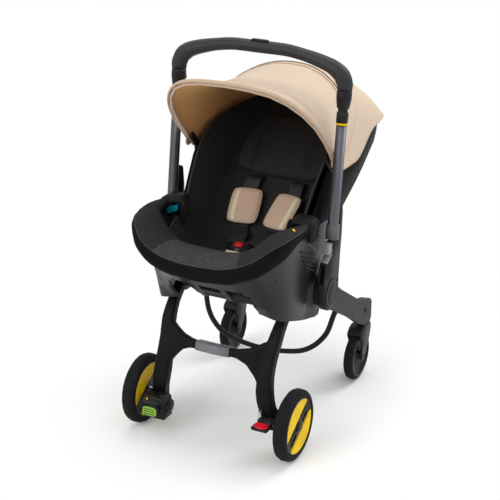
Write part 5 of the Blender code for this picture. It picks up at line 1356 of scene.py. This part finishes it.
# Rings where the caster wheels hold their tyres
for side, way in SIDES:
    tyre = [v.co - SHIFT for v in SKINS[f"caster_tyre_{side}"].data.vertices]
    middle = Vector([min(axis) + max(axis) for axis in zip(*tyre)]) / 2
    inner = min(math.hypot(p.y - middle.y, p.z - middle.z) for p in tyre) + .0030
    for face in (-1, 1):
        spots = circle(middle.x + face * .05, middle.yz, inner, 36)
        ring = [on_skin(f"caster_tyre_{side}", spot, (-face, 0, 0)) for spot in spots]
        tube(f"caster_ring_{side}_{face + 1}", ring, .0010, COLLAR_GREY, f"caster_unit_{side}", sides=6,
             closed=True, lift=(1, 0, 0), slot="dark_plastic")

# Camera, light and floor
EYE = Vector((1.31717, -2.46258, 1.66140)) + SHIFT
RIGHT = Vector((.89435, .44737, .00249))
UP = Vector((-.17439, .34349, .92282))
BACK = Vector((.41198, -.82576, .38522))
FOCAL_PX, FRAME_PX, SENSOR = 1315.44, 500, 36
FLOOR_PLAIN, FLOOR_WHITE = .30, .60

camera = bpy.data.objects.new("camera", bpy.data.cameras.new("camera"))
camera.data.sensor_width = SENSOR
camera.data.lens = FOCAL_PX / FRAME_PX * SENSOR
camera.data.clip_end = 50
camera.matrix_world = Matrix.Translation(EYE) @ Matrix((RIGHT, UP, BACK)).transposed().to_4x4()
bpy.context.scene.collection.objects.link(camera)
bpy.context.scene.camera = camera


def lamp(name, spot, aim, size, power):
    light = bpy.data.lights.new(name, "AREA")
    light.size = size
    light.energy = power
    made = bpy.data.objects.new(name, light)
    made.location = Vector(spot)
    made.rotation_euler = (Vector(aim) - Vector(spot)).to_track_quat("-Z", "Y").to_euler()
    bpy.context.scene.collection.objects.link(made)


lamp("key", (1.5, 2.3, 2.9), (0, 0, .5), 1.6, 62)
lamp("side", (2.6, -.6, 1.6), (0, 0, .5), 2.0, 12)
lamp("front", (-1.0, -2.8, 2.0), (0, 0, .5), 2.0, 46)
lamp("top", (-.2, .3, 3.2), (0, 0, .5), 2.4, 36)

world = bpy.data.worlds.new("studio")
bpy.context.scene.world = world
world.use_nodes = True
tree = world.node_tree
tree.nodes.clear()
rays = node(tree, "LightPath").outputs
soft = node(tree, "Background", Color=WHITE, Strength=.62).outputs["Background"]
white = node(tree, "Background", Color=WHITE, Strength=1.0).outputs["Background"]
seen = combined(tree, "MAXIMUM", rays["Is Camera Ray"], rays["Is Transmission Ray"])
seen = combined(tree, "MAXIMUM", seen, rays["Is Glossy Ray"])
node(tree, "OutputWorld", Surface=mixed(tree, seen, soft, white))

floor_mesh = bpy.data.meshes.new("floor")
bm = bmesh.new()
bmesh.ops.create_grid(bm, x_segments=2, y_segments=2, size=9)
bm.to_mesh(floor_mesh)
bm.free()
floor = bpy.data.objects.new("floor", floor_mesh)
floor.location = (0, 0, -.0005)
bpy.context.scene.collection.objects.link(floor)
mat, tree, bsdf = material("floor", (.86, .86, .86), .9, spec=.1)
reach = node(tree, "VectorMath", operation="LENGTH", Vector=object_space(tree)).outputs["Value"]
fade = node(tree, "MapRange", interpolation_type="SMOOTHSTEP", From_Min=FLOOR_PLAIN, From_Max=FLOOR_WHITE,
            Value=reach).outputs["Result"]
camera_only = combined(tree, "MULTIPLY", fade, node(tree, "LightPath").outputs["Is Camera Ray"])
glow = node(tree, "Emission", Color=WHITE, Strength=1.0).outputs["Emission"]
feed(tree, tree.nodes["Material Output"], Surface=mixed(tree, camera_only, bsdf.outputs["BSDF"], glow))
floor_mesh.materials.append(mat)

bpy.context.scene.view_settings.view_transform = "Standard"
